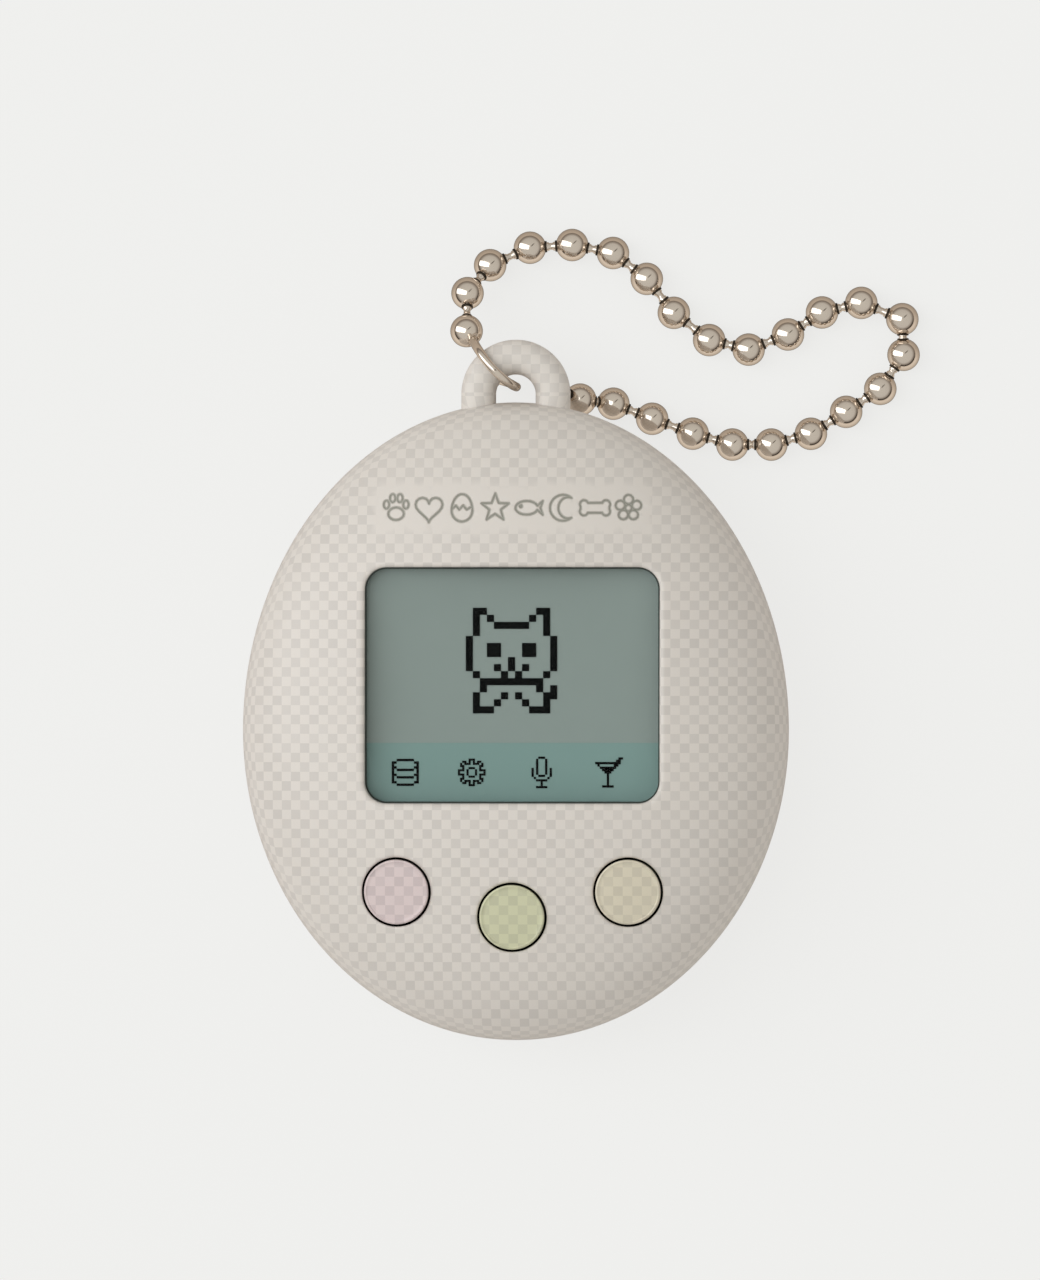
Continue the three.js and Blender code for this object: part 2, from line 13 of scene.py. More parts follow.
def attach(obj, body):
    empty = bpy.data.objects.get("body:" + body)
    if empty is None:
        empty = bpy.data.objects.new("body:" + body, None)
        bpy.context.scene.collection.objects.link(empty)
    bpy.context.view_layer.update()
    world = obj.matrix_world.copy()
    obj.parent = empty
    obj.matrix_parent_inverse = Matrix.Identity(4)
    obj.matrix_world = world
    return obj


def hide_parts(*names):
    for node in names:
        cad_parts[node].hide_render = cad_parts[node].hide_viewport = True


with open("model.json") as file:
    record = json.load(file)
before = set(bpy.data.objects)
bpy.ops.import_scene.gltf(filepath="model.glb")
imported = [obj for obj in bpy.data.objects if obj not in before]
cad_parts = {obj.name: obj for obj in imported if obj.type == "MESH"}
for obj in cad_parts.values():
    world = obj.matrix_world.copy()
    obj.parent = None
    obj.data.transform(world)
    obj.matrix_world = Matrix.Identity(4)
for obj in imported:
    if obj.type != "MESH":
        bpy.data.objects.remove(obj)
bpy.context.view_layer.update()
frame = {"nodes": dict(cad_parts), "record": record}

MM = 0.001

# ---- driving dimensions, in millimetres, as in the CAD model ----

HALF_WIDTH = 20
CROWN = 24
CHIN = 22.7
WIDEST_Y = -0.6
PARTING = 7
FRONT_RISE = 8
BACK_DROP = 8.8
POWER = 2.6
WALL = 1.5
GROOVE = 0.15

EAR = {"y": 24, "radius": 4, "hole": 1.45, "half": 1.4}
WINDOW = {"width": 21.5, "height": 17.2, "corner": 1.6, "y": 2.7}
LEDGE = 0.6  # how far the seat of the lens reaches into the window
LEDGE_Z = 12.2
LENS_TOP = 13.2
LCD_TOP = 11.3
BUTTONS = {"left": (-8.44, -12.35), "middle": (0, -14.18), "right": (8.44, -12.35)}
BUTTON_R = 2.36
BUTTON_HOLE = 2.53
BUTTON_FOOT = 10.55
BUTTON_PROUD = 0.35
FLANGE_R = 2.9
FLANGE_HEIGHT = 0.6
CASE_SCREWS = [(-12.8, 11.6), (12.8, 11.6), (-15.2, -5.2), (15.2, -5.2)]
SCREW_HOLE = 1.5
SCREW_SHAFT = 0.7
SCREW_SEAT = 0.8
BOSS = {"radius": 1.9, "seat": 4.05}
CELL = {"radius": 5.8, "x": 6.1, "y": -8.2}
WELL_HALF = CELL["radius"] + 0.25
COVER_HALF = WELL_HALF + 0.8
CELL_CEILING = 7.25
CELL_ROOF = 7.85
COVER_Z = 1.2
COVER_SCREW_Y = CELL["y"] + 4.7
CHECK = 0.693  # width of one printed square
PATCH = {"x": 9.95, "low": 13.85, "high": 17.4}
BALL_R = 1.2
LINKS = 27
WIRE_R = 0.33
ROUTE_HOOK = [
    (-3.35, 28.25, 5.75), (-3.1, 27.85, 7), (-2.6, 27.1, 8.35), (-1.85, 26.1, 8.95),
    (-0.95, 25.2, 8.85), (-0.2, 24.65, 8.1), (0.02, 24.55, 6.9), (-0.1, 24.6, 5.7),
    (-0.55, 24.85, 4.8), (-1.15, 25.05, 4.1), (-1.6, 25.2, 3.8),
]


# ---- camera, light and floor ----

VIEW_SIDE = math.radians(2.4)  # the view comes slightly from the right
VIEW_DISTANCE = 1.0
VIEW_LENS = 200 / 0.521 * VIEW_DISTANCE
VIEW_CENTRE = Vector((0.3, 6.0, PARTING)) * MM


def make_camera():
    data = bpy.data.cameras.new("camera")
    data.lens = VIEW_LENS
    data.clip_start = 0.05
    camera = bpy.data.objects.new("camera", data)
    towards = Vector((math.sin(VIEW_SIDE), 0, math.cos(VIEW_SIDE)))
    camera.location = VIEW_CENTRE + towards * VIEW_DISTANCE
    camera.rotation_euler = (0, VIEW_SIDE, 0)
    bpy.context.scene.collection.objects.link(camera)
    bpy.context.scene.camera = camera


KEY = {"direction": (-0.66, 0.16, 0.73), "distance": 1.2, "width": 0.7, "height": 1.9, "power": 8.0}
KEY_TINT = (0.97, 1.0, 1.035)


def add_softbox(name, direction, distance, width, height, power):
    """A rectangular lamp that faces the toy, with its long side along Y."""
    data = bpy.data.lights.new(name, "AREA")
    data.shape = "RECTANGLE"
    data.size = width
    data.size_y = height
    data.energy = power
    data.color = KEY_TINT
    lamp = bpy.data.objects.new(name, data)
    lamp.location = Vector(direction).normalized() * distance
    lamp.rotation_euler = (-lamp.location).to_track_quat("-Z", "Y").to_euler()
    bpy.context.scene.collection.objects.link(lamp)


# The studio's colours by height, from straight down (-1) to straight up (1), on the side of the
# chin and on the side of the crown. Mostly the chain shows them.
SKY_FRONT = [
    (-1.0, (0.22, 0.19, 0.16)), (-0.8, (0.60, 0.53, 0.45)), (-0.3, (0.90, 0.83, 0.74)),
    (-0.06, (0.82, 0.74, 0.65)), (-0.01, (0.05, 0.04, 0.035)), (0.12, (0.07, 0.06, 0.05)),
    (0.3, (0.42, 0.39, 0.36)), (0.5, (0.67, 0.665, 0.64)), (1.0, (0.71, 0.71, 0.68)),
]
SKY_BACK = [
    (-1.0, (0.22, 0.19, 0.16)), (-0.7, (0.46, 0.40, 0.34)), (-0.15, (0.62, 0.55, 0.47)),
    (0.0, (0.22, 0.19, 0.165)), (0.15, (0.34, 0.31, 0.28)), (0.4, (0.63, 0.62, 0.59)),
    (1.0, (0.71, 0.71, 0.68)),
]
STAND = {"x": 0.34, "y": 0.30, "length": 0.26, "width": 0.05}  # a dark stand above, by direction
STAND_COLOR = (0.1, 0.085, 0.07)
FLOOR_HALF = 3.0
FLOOR_DROP = 0.00002  # keeps the floor just below the flat of the back


def sky_ramp(tree, height, stops):
    ramp = tree.nodes.new("ShaderNodeValToRGB")
    tree.links.new(height, ramp.inputs["Fac"])
    elements = ramp.color_ramp.elements
    while len(elements) < len(stops):
        elements.new(0.5)
    for element, (level, color) in zip(elements, stops):
        element.position = (level + 1) / 2
        element.color = (*color, 1)
    return ramp.outputs["Color"]


def make_world():
    world = bpy.data.worlds.new("studio")
    bpy.context.scene.world = world
    world.use_nodes = True
    tree = world.node_tree
    coords = tree.nodes.new("ShaderNodeTexCoord")
    split = tree.nodes.new("ShaderNodeSeparateXYZ")
    tree.links.new(coords.outputs["Generated"], split.inputs[0])
    x, y, z = (split.outputs[axis] for axis in "XYZ")
    height = math_node(tree, "MULTIPLY_ADD", z, 0.5)
    height.node.inputs[2].default_value = 0.5
    side = math_node(tree, "MULTIPLY_ADD", y, 1.2, True)
    side.node.inputs[2].default_value = 0.5
    front = sky_ramp(tree, height, SKY_FRONT)
    back = sky_ramp(tree, height, SKY_BACK)
    color = mix_color(tree, side, front, back)
    across = math_node(tree, "SUBTRACT", x, STAND["x"])
    up = math_node(tree, "SUBTRACT", y, STAND["y"])
    squares = []
    for operation, size in (("ADD", "length"), ("SUBTRACT", "width")):
        turned = math_node(tree, operation, across, up)
        share = math_node(tree, "DIVIDE", turned, STAND[size] * math.sqrt(2))
        squares.append(math_node(tree, "POWER", math_node(tree, "ABSOLUTE", share), 2))
    reach = math_node(tree, "ADD", *squares)
    above = math_node(tree, "GREATER_THAN", z, 0)
    stand = math_node(tree, "MULTIPLY", math_node(tree, "SUBTRACT", 1.6, reach, True), above)
    color = mix_color(tree, stand, color, STAND_COLOR)
    background = tree.nodes["Background"]
    tree.links.new(color, background.inputs["Color"])
    background.inputs["Strength"].default_value = 1.0


def make_floor():
    mesh = bpy.data.meshes.new("floor")
    half = FLOOR_HALF
    corners = [(-half, -half, 0), (half, -half, 0), (half, half, 0), (-half, half, 0)]
    mesh.from_pydata(corners, [], [(0, 1, 2, 3)])
    floor = bpy.data.objects.new("floor", mesh)
    floor.location.z = -FLOOR_DROP
    bpy.context.scene.collection.objects.link(floor)
    material = bpy.data.materials.new("floor")
    material.use_nodes = True
    tree = material.node_tree
    shader = tree.nodes["Principled BSDF"]
    shader.inputs["Base Color"].default_value = (0.13, 0.13, 0.128, 1)
    shader.inputs["Roughness"].default_value = 0.9
    shader.inputs["Specular IOR Level"].default_value = 0.1
    shader.inputs["Emission Color"].default_value = (1.0, 1.0, 0.985, 1)
    shader.inputs["Emission Strength"].default_value = 0.745
    mesh.materials.append(material)
    floor.visible_glossy = False


# ---- material helpers ----

def new_material(name):
    material = bpy.data.materials.new(name)
    material.use_nodes = True
    return material, material.node_tree, material.node_tree.nodes["Principled BSDF"]


def node(tree, kind, **inputs):
    made = tree.nodes.new(kind)
    for key, value in inputs.items():
        made.inputs[key.replace("_", " ")].default_value = value
    return made


def math_node(tree, operation, first, second=None, clamp=False):
    made = tree.nodes.new("ShaderNodeMath")
    made.operation = operation
    made.use_clamp = clamp
    for socket, value in zip(made.inputs, (first, second)):
        if value is None:
            continue
        if isinstance(value, (int, float)):
            socket.default_value = value
        else:
            tree.links.new(value, socket)
    return made.outputs[0]


def mix_color(tree, factor, first, second):
    made = tree.nodes.new("ShaderNodeMix")
    made.data_type = "RGBA"
    for key, kind, value in (("Factor", "VALUE", factor), ("A", "RGBA", first), ("B", "RGBA", second)):
        socket = next(s for s in made.inputs if s.name == key and s.type == kind)
        if isinstance(value, (int, float)):
            socket.default_value = value
        elif isinstance(value, tuple):
            socket.default_value = (*value, 1)
        else:
            tree.links.new(value, socket)
    return next(s for s in made.outputs if s.type == "RGBA")


def noise(tree, coords, scale, detail):
    made = node(tree, "ShaderNodeTexNoise", Scale=scale, Detail=detail)
    tree.links.new(coords, made.inputs["Vector"])
    return made.outputs["Fac"]


def spread(tree, value, low, high):
    made = tree.nodes.new("ShaderNodeMapRange")
    made.inputs["To Min"].default_value = low
    made.inputs["To Max"].default_value = high
    tree.links.new(value, made.inputs["Value"])
    return made.outputs["Result"]


def add_bump(tree, shader, height, strength, distance):
    bump = node(tree, "ShaderNodeBump", Strength=strength, Distance=distance)
    tree.links.new(height, bump.inputs["Height"])
    tree.links.new(bump.outputs["Normal"], shader.inputs["Normal"])


def object_coords(tree):
    return tree.nodes.new("ShaderNodeTexCoord").outputs["Object"]


# ---- materials ----

# Painted shade: the colour the engraved lines of the pictograms are darkened to, in place of the shade inside
# the grooves.
GROOVE_PAINTED_SHADE = (0.19, 0.195, 0.155)


def checked_plastic(name, light, dark, patch=False):
    """Satin moulded plastic with a printed two-tone check. The UV map is in check widths."""
    material, tree, shader = new_material(name)
    uv = tree.nodes.new("ShaderNodeUVMap")
    uv.uv_map = "print"
    split = tree.nodes.new("ShaderNodeSeparateXYZ")
    tree.links.new(uv.outputs["UV"], split.inputs[0])
    column = math_node(tree, "FLOOR", split.outputs["X"])
    row = math_node(tree, "FLOOR", split.outputs["Y"])
    odd = math_node(tree, "PINGPONG", math_node(tree, "ADD", column, row), 1.0)
    cell = tree.nodes.new("ShaderNodeCombineXYZ")
    tree.links.new(column, cell.inputs["X"])
    tree.links.new(row, cell.inputs["Y"])
    shade = tree.nodes.new("ShaderNodeTexWhiteNoise")
    shade.noise_dimensions = "2D"
    tree.links.new(cell.outputs[0], shade.inputs["Vector"])
    weight = math_node(tree, "MULTIPLY", odd, spread(tree, shade.outputs["Value"], 0.62, 1.0))
    blotch = noise(tree, object_coords(tree), 260, 4.0)
    weight = math_node(tree, "MULTIPLY", weight, spread(tree, blotch, 0.75, 1.15))
    if patch:
        area = tree.nodes.new("ShaderNodeAttribute")
        area.attribute_name = "plain"
        keep = math_node(tree, "SUBTRACT", 1.0, area.outputs["Fac"], True)
        weight = math_node(tree, "MULTIPLY", weight, keep)
    color = mix_color(tree, weight, light, dark)
    tint = spread(tree, noise(tree, object_coords(tree), 38, 2.0), 0.0, 0.35)
    color = mix_color(tree, tint, color, tuple(c * k for c, k in zip(light, (0.95, 0.985, 0.96))))
    # painted shade along the engraved lines, read from the groove mark
    if patch:
        groove = tree.nodes.new("ShaderNodeAttribute")
        groove.attribute_name = "groove"
        color = mix_color(tree, groove.outputs["Fac"], color, GROOVE_PAINTED_SHADE)
    tree.links.new(color, shader.inputs["Base Color"])
    rough = spread(tree, noise(tree, object_coords(tree), 900, 3.0), 0.34, 0.5)
    tree.links.new(rough, shader.inputs["Roughness"])
    shader.inputs["Subsurface Weight"].default_value = 0.06
    shader.inputs["Subsurface Radius"].default_value = (0.0012, 0.001, 0.0008)
    add_bump(tree, shader, noise(tree, object_coords(tree), 2600, 2.0), 0.06, 0.00004)
    return material


def plastic(name, color, rough=0.45, variation=0.06, shine=0.5):
    material, tree, shader = new_material(name)
    shader.inputs["Specular IOR Level"].default_value = shine
    cloud = noise(tree, object_coords(tree), 120, 4.0)
    paler = tuple(min(1, c * (1 + variation)) for c in color)
    darker = tuple(c * (1 - variation) for c in color)
    tree.links.new(mix_color(tree, cloud, darker, paler), shader.inputs["Base Color"])
    fine = noise(tree, object_coords(tree), 1500, 3.0)
    tree.links.new(spread(tree, fine, rough - 0.07, rough + 0.07), shader.inputs["Roughness"])
    add_bump(tree, shader, fine, 0.1, 0.00003)
    return material


def metal(name, color, rough, scratch=0.05):
    material, tree, shader = new_material(name)
    shader.inputs["Metallic"].default_value = 1.0
    cloud = noise(tree, object_coords(tree), 420, 5.0)
    darker = tuple(0.9 * c for c in color)
    tree.links.new(mix_color(tree, cloud, darker, color), shader.inputs["Base Color"])
    marks = node(tree, "ShaderNodeTexNoise", Scale=700.0, Detail=6.0, Distortion=2.5)
    tree.links.new(object_coords(tree), marks.inputs["Vector"])
    tree.links.new(spread(tree, marks.outputs["Fac"], rough - 0.04, rough + 0.06), shader.inputs["Roughness"])
    add_bump(tree, shader, marks.outputs["Fac"], scratch, 0.00002)
    return material


LENS_FACING = 0.003  # the share that the lens reflects straight on
LENS_GRAZING = 0.9  # and what it gains towards a grazing view
LCD_PITCH = 0.00051  # the faint grid of the screen, in metres
LCD_LINE = 0.08  # a grid line's share of the pitch


def clear_lens():
    """Clear acrylic that reflects weakly, so that the screen stays dark and easy to read."""
    material, tree, shader = new_material("lens_clear")
    gloss = node(tree, "ShaderNodeBsdfGlossy")
    gloss.inputs["Color"].default_value = (1, 1, 1, 1)
    haze = spread(tree, noise(tree, object_coords(tree), 300, 3.0), 0.03, 0.07)
    tree.links.new(haze, gloss.inputs["Roughness"])
    through = node(tree, "ShaderNodeBsdfTransparent")
    through.inputs["Color"].default_value = (0.97, 0.985, 0.98, 1)
    slope = node(tree, "ShaderNodeLayerWeight", Blend=0.5).outputs["Facing"]
    share = math_node(tree, "MULTIPLY_ADD", math_node(tree, "POWER", slope, 5), LENS_GRAZING)
    share.node.inputs[2].default_value = LENS_FACING
    mixed = tree.nodes.new("ShaderNodeMixShader")
    tree.links.new(share, mixed.inputs["Fac"])
    tree.links.new(through.outputs[0], mixed.inputs[1])
    tree.links.new(gloss.outputs[0], mixed.inputs[2])
    output = tree.nodes["Material Output"]
    tree.links.new(mixed.outputs[0], output.inputs["Surface"])
    tree.nodes.remove(shader)
    return material


def lcd_glass(name, color, deeper):
    """Grey-green screen with a faint pixel grid."""
    material, tree, shader = new_material(name)
    place = object_coords(tree)
    split = tree.nodes.new("ShaderNodeSeparateXYZ")
    tree.links.new(place, split.inputs[0])
    lines = []
    for axis in ("X", "Y"):
        wave = math_node(tree, "FRACT", math_node(tree, "DIVIDE", split.outputs[axis], LCD_PITCH))
        lines.append(math_node(tree, "LESS_THAN", wave, LCD_LINE))
    grid = math_node(tree, "MULTIPLY", math_node(tree, "MAXIMUM", *lines), 0.12)
    cloud = spread(tree, noise(tree, place, 160, 3.0), 0.0, 0.5)
    base = mix_color(tree, cloud, color, deeper)
    tree.links.new(mix_color(tree, grid, base, deeper), shader.inputs["Base Color"])
    tree.links.new(spread(tree, noise(tree, place, 800, 2.0), 0.3, 0.42), shader.inputs["Roughness"])
    return material


CASE_LIGHT = (0.725, 0.672, 0.625)
CASE_DARK = (0.60, 0.556, 0.52)
CASE_PRINT = checked_plastic("case_print", CASE_LIGHT, CASE_DARK, patch=True)
BUTTON_PRINTS = {
    "left": checked_plastic("button_pink_print", (0.70, 0.585, 0.578), (0.56, 0.468, 0.468)),
    "middle": checked_plastic("button_green_print", (0.62, 0.615, 0.42), (0.51, 0.505, 0.355)),
    "right": checked_plastic("button_cream_print", (0.72, 0.655, 0.52), (0.59, 0.535, 0.43)),
}
CHAIN_METAL = metal("chain_nickel", (0.76, 0.67, 0.58), rough=0.09, scratch=0.06)
# Painted shadow: a near-black collar where each pin enters its ball.
CHAIN_PAINTED_SHADOW = metal("chain_painted_shadow", (0.05, 0.04, 0.03), rough=0.5)
SCREW_METAL = metal("screw_zinc", (0.62, 0.62, 0.63), rough=0.3, scratch=0.2)
CONTACT_METAL = metal("contact_nickel", (0.78, 0.75, 0.68), rough=0.25, scratch=0.15)
CELL_METAL = metal("cell_nickel", (0.74, 0.74, 0.74), rough=0.22, scratch=0.15)
SOUNDER_METAL = metal("sounder_brass", (0.80, 0.60, 0.28), rough=0.25, scratch=0.1)
LENS_CLEAR = clear_lens()
LCD_UPPER = lcd_glass("lcd_upper", (0.262, 0.304, 0.287), (0.22, 0.26, 0.247))
LCD_BAND = lcd_glass("lcd_band", (0.196, 0.307, 0.29), (0.172, 0.274, 0.259))
LCD_INK = plastic("lcd_ink", (0.002, 0.0025, 0.0025), rough=0.8, variation=0.2, shine=0.05)
# Painted shade: near-black for the walls of the button holes and the buttons' flanges, where the gap lies in
# shade.
GAP_PAINTED_SHADE = plastic("gap_painted_shade", (0.012, 0.012, 0.01), rough=0.8, variation=0.2, shine=0.05)
# Painted shade: a thin near-black ring round the window's edge, in place of the shade of the gap between lens
# and shell.
WINDOW_EDGE_PAINTED_SHADE = plastic("window_edge_painted_shade", (0.02, 0.03, 0.024), rough=0.5, variation=0.2)


# ---- mesh helpers ----

def add_object(name, mesh, materials):
    for material in materials:
        mesh.materials.append(material)
    made = bpy.data.objects.new(name, mesh)
    bpy.context.scene.collection.objects.link(made)
    return made


def finish_mesh(bm, name, materials, smooth_angle=32):
    """Turns a bmesh in millimetres into an object in metres, smooth except at sharp edges."""
    bmesh.ops.remove_doubles(bm, verts=bm.verts, dist=0.0005)
    bmesh.ops.recalc_face_normals(bm, faces=bm.faces)
    limit = math.radians(smooth_angle)
    for face in bm.faces:
        face.smooth = len(face.verts) <= 4
    for edge in bm.edges:
        if len(edge.link_faces) == 2 and edge.calc_face_angle() > limit:
            edge.smooth = False
    bmesh.ops.scale(bm, vec=(MM, MM, MM), verts=bm.verts)
    mesh = bpy.data.meshes.new(name)
    bm.to_mesh(mesh)
    bm.free()
    return add_object(name, mesh, materials)


def add_ring(bm, points):
    return [bm.verts.new(point) for point in points]


def join_rings(bm, first, second, material=0):
    count = len(first)
    for i in range(count):
        j = (i + 1) % count
        face = bm.faces.new((first[i], first[j], second[j], second[i]))
        face.material_index = material


def close_tube(bm, rings):
    """Joins the rings one after another and closes both ends with flat faces."""
    for first, second in zip(rings, rings[1:]):
        join_rings(bm, first, second)
    bm.faces.new(rings[0][::-1])
    bm.faces.new(rings[-1])


def cap_ring(bm, ring, centre):
    middle = bm.verts.new(centre)
    for i, vertex in enumerate(ring):
        bm.faces.new((vertex, ring[(i + 1) % len(ring)], middle))


def circle(radius, x=0.0, y=0.0, count=64):
    turns = [2 * math.pi * i / count for i in range(count)]
    return [(x + radius * math.cos(t), y + radius * math.sin(t)) for t in turns]


def rounded_box(width, height, corner, y=0.0, arc=10, side=16):
    """A rounded rectangle's outline: arcs joined by evenly divided sides."""
    right, top = width / 2, height / 2
    corner = min(corner, right - 1e-3, top - 1e-3)
    middles = [(right - corner, top - corner), (corner - right, top - corner),
               (corner - right, corner - top), (right - corner, corner - top)]
    points = []
    for quarter, (cx, cy) in enumerate(middles):
        for i in range(arc + 1):
            turn = (quarter + i / arc) * math.pi / 2
            points.append((cx + corner * math.cos(turn), y + cy + corner * math.sin(turn)))
        nx, ny = middles[(quarter + 1) % 4]
        turn = (quarter + 1) * math.pi / 2
        start = points[-1]
        end = (nx + corner * math.cos(turn), y + ny + corner * math.sin(turn))
        gap = math.dist(start, end)
        if gap < 0.01:
            points.pop()
            continue
        for i in range(1, side):
            points.append(tuple(a + (b - a) * i / side for a, b in zip(start, end)))
    return points


def box_distance(x, y, width, height, corner, centre_y):
    """Signed distance to a rounded rectangle, negative inside it."""
    qx = np.abs(x) - width / 2 + corner
    qy = np.abs(y - centre_y) - height / 2 + corner
    outside = np.hypot(np.maximum(qx, 0), np.maximum(qy, 0))
    return outside + np.minimum(np.maximum(qx, qy), 0) - corner


# ---- the egg ----

def egg_rho(x, y, radius=HALF_WIDTH):
    scale = radius / HALF_WIDTH
    half = np.where(y > WIDEST_Y, CROWN, CHIN) * scale
    return np.hypot(x / radius, (y - WIDEST_Y) / half)


def egg_point(turn, rho, radius=HALF_WIDTH):
    half = CROWN if math.sin(turn) > 0 else CHIN
    scale = radius / HALF_WIDTH
    return (radius * rho * math.cos(turn), WIDEST_Y + half * scale * rho * math.sin(turn))


def dome(x, y, radius, rise):
    rho = np.minimum(egg_rho(x, y, radius), 1)
    return rise * (1 - rho ** POWER) ** (1 / POWER)


def egg_ring(rho, count, radius=HALF_WIDTH):
    return [egg_point(2 * math.pi * i / count, rho, radius) for i in range(count)]


def rim_rhos(count, last=0.98):
    """Radii that follow the superellipse evenly from its rim inwards."""
    angles = [0.5 * math.pi * last * i / count for i in range(1, count + 1)]
    return [math.cos(a) ** (2 / POWER) for a in angles]


def fill_surface(bm, loops, extra, height, upwards=True):
    """Triangulates the area inside loops[0] and outside the other loops.
    Returns the vertices of each loop. height(x, y) gives z for arrays of points."""
    coords = []
    edges = []
    spans = []
    for loop in loops:
        start = len(coords)
        coords.extend(loop)
        edges.extend((start + i, start + (i + 1) % len(loop)) for i in range(len(loop)))
        spans.append((start, len(coords)))
    coords.extend(extra)
    flat, _, faces, origins, _, _ = delaunay_2d_cdt([Vector(c) for c in coords], edges, [], 0, 1e-5)
    place = {}
    for new, olds in enumerate(origins):
        for old in olds:
            place[old] = new
    points = np.array([tuple(p) for p in flat])
    z = height(points[:, 0], points[:, 1])
    triangles = np.array([f for f in faces if len(f) == 3])
    middle = points[triangles].mean(axis=1)
    keep = inside(middle, loops[0])
    for loop in loops[1:]:
        keep &= ~inside(middle, loop)
    verts = {}
    for a, b, c in triangles[keep]:
        corner = []
        for i in (int(a), int(b), int(c)):
            if i not in verts:
                verts[i] = bm.verts.new((points[i][0], points[i][1], z[i]))
            corner.append(verts[i])
        bm.faces.new(corner if upwards else corner[::-1])
    return [[verts[place[i]] for i in range(*span)] for span in spans]


def inside(points, loop):
    x, y = points[:, 0], points[:, 1]
    result = np.zeros(len(points), bool)
    ring = np.array(loop)
    for (ax, ay), (bx, by) in zip(ring, np.roll(ring, -1, axis=0)):
        if ay == by:
            continue
        cross = (ay > y) != (by > y)
        result ^= cross & (x < (bx - ax) * (y - ay) / (by - ay) + ax)
    return result


def wall_down(bm, ring, z):
    """A straight wall from a ring to the height z."""
    return step_to(bm, ring, [(vertex.co.x, vertex.co.y) for vertex in ring], z)


def step_to(bm, ring, outline, z):
    inner = add_ring(bm, [(x, y, z) for x, y in outline])
    join_rings(bm, ring, inner)
    return inner


# ---- pictograms engraved above the window ----

def arc_points(x, y, rx, ry, start=0, stop=360, count=16):
    turns = [math.radians(start + (stop - start) * i / count) for i in range(count + 1)]
    return [(x + rx * math.cos(t), y + ry * math.sin(t)) for t in turns]


def paw():
    toes = [(-0.72, 0.25, 0.2, 0.3), (-0.27, 0.72, 0.2, 0.3), (0.27, 0.72, 0.2, 0.3), (0.72, 0.25, 0.2, 0.3)]
    return [arc_points(*toe) for toe in toes] + [arc_points(0, -0.42, 0.58, 0.46)]


def heart():
    turns = [2 * math.pi * i / 28 for i in range(29)]
    across = [0.062 * 16 * math.sin(t) ** 3 for t in turns]
    up = [0.062 * (13 * math.cos(t) - 5 * math.cos(2 * t) - 2 * math.cos(3 * t) - math.cos(4 * t))
          for t in turns]
    return [list(zip(across, up))]


def star():
    points = []
    for i in range(11):
        reach = 1.05 if i % 2 == 0 else 0.44
        turn = math.radians(90 + 36 * i)
        points.append((reach * math.cos(turn), reach * math.sin(turn)))
    return [points]


def hatching_egg():
    crack = [(-0.74, -0.1), (-0.45, 0.16), (-0.2, -0.12), (0.08, 0.18), (0.34, -0.12), (0.74, 0.1)]
    return [arc_points(0, -0.2, 0.76, 0.8, 180, 360) + arc_points(0, -0.2, 0.76, 1.2, 0, 180), crack]


def bone():
    left = arc_points(-0.8, 0.26, 0.3, 0.3, 20, 215, 9) + arc_points(-0.8, -0.26, 0.3, 0.3, 145, 340, 9)
    right = arc_points(0.8, -0.26, 0.3, 0.3, 200, 395, 9) + arc_points(0.8, 0.26, 0.3, 0.3, -35, 160, 9)
    return [left + right + left[:1]]


def moon():
    outer = arc_points(0.1, 0, 0.95, 0.95, 50, 310, 18)
    inner = arc_points(0.48, 0, 0.72, 0.78, 290, 70, 14)
    return [outer + inner[1:-1] + outer[:1]]


def flower():
    petals = [arc_points(0.62 * math.cos(a), 0.62 * math.sin(a), 0.34, 0.34, count=12)
              for a in [math.radians(90 + 72 * i) for i in range(5)]]
    return petals + [arc_points(0, 0, 0.24, 0.24, count=10)]


def fish():
    body = arc_points(-0.12, 0, 0.82, 0.5, 18, 342, 18)
    tail = [body[-1], (1.05, -0.5), (0.88, 0), (1.05, 0.5), body[0]]
    return [body, tail, arc_points(-0.55, 0.12, 0.08, 0.08, count=6)]


PICTOGRAMS = [paw, heart, hatching_egg, star, fish, moon, bone, flower]
PICTOGRAM_PITCH = 2.42
PICTOGRAM_Y = 15.62
GROOVE_HALF = 0.115
GROOVE_DEPTH = 0.11


def pictogram_segments():
    segments = []
    first = -PICTOGRAM_PITCH * (len(PICTOGRAMS) - 1) / 2
    for i, draw in enumerate(PICTOGRAMS):
        for line in draw():
            placed = [(first + i * PICTOGRAM_PITCH + x, PICTOGRAM_Y + y) for x, y in line]
            segments.extend(zip(placed, placed[1:]))
    return np.array(segments)


SEGMENTS = pictogram_segments()


def groove_distance(x, y):
    """Distance from each point to the nearest engraved line."""
    best = np.full(len(x), 9.0)
    near = (np.abs(y - PICTOGRAM_Y) < 1.6) & (np.abs(x) < PATCH["x"] + 0.5)
    px, py = x[near], y[near]
    closest = np.full(len(px), 9.0)
    for (ax, ay), (bx, by) in SEGMENTS:
        dx, dy = bx - ax, by - ay
        length = max(dx * dx + dy * dy, 1e-9)
        t = np.clip(((px - ax) * dx + (py - ay) * dy) / length, 0, 1)
        closest = np.minimum(closest, np.hypot(px - ax - t * dx, py - ay - t * dy))
    best[near] = closest
    return best


# ---- front shell ----

ROLL = 0.42  # width of the rounded edge at the window and at each button hole
WINDOW_DROP = 0.3
BUTTON_DROP = 0.16


def window_distance(x, y):
    return box_distance(x, y, WINDOW["width"], WINDOW["height"], WINDOW["corner"], WINDOW["y"])


def rolled(distance, width, drop):
    """How far a surface sinks as it turns over an edge: a quarter round."""
    t = np.clip(1 - distance / width, 0, 1)
    return drop * (1 - np.sqrt(np.maximum(1 - t * t, 0)))


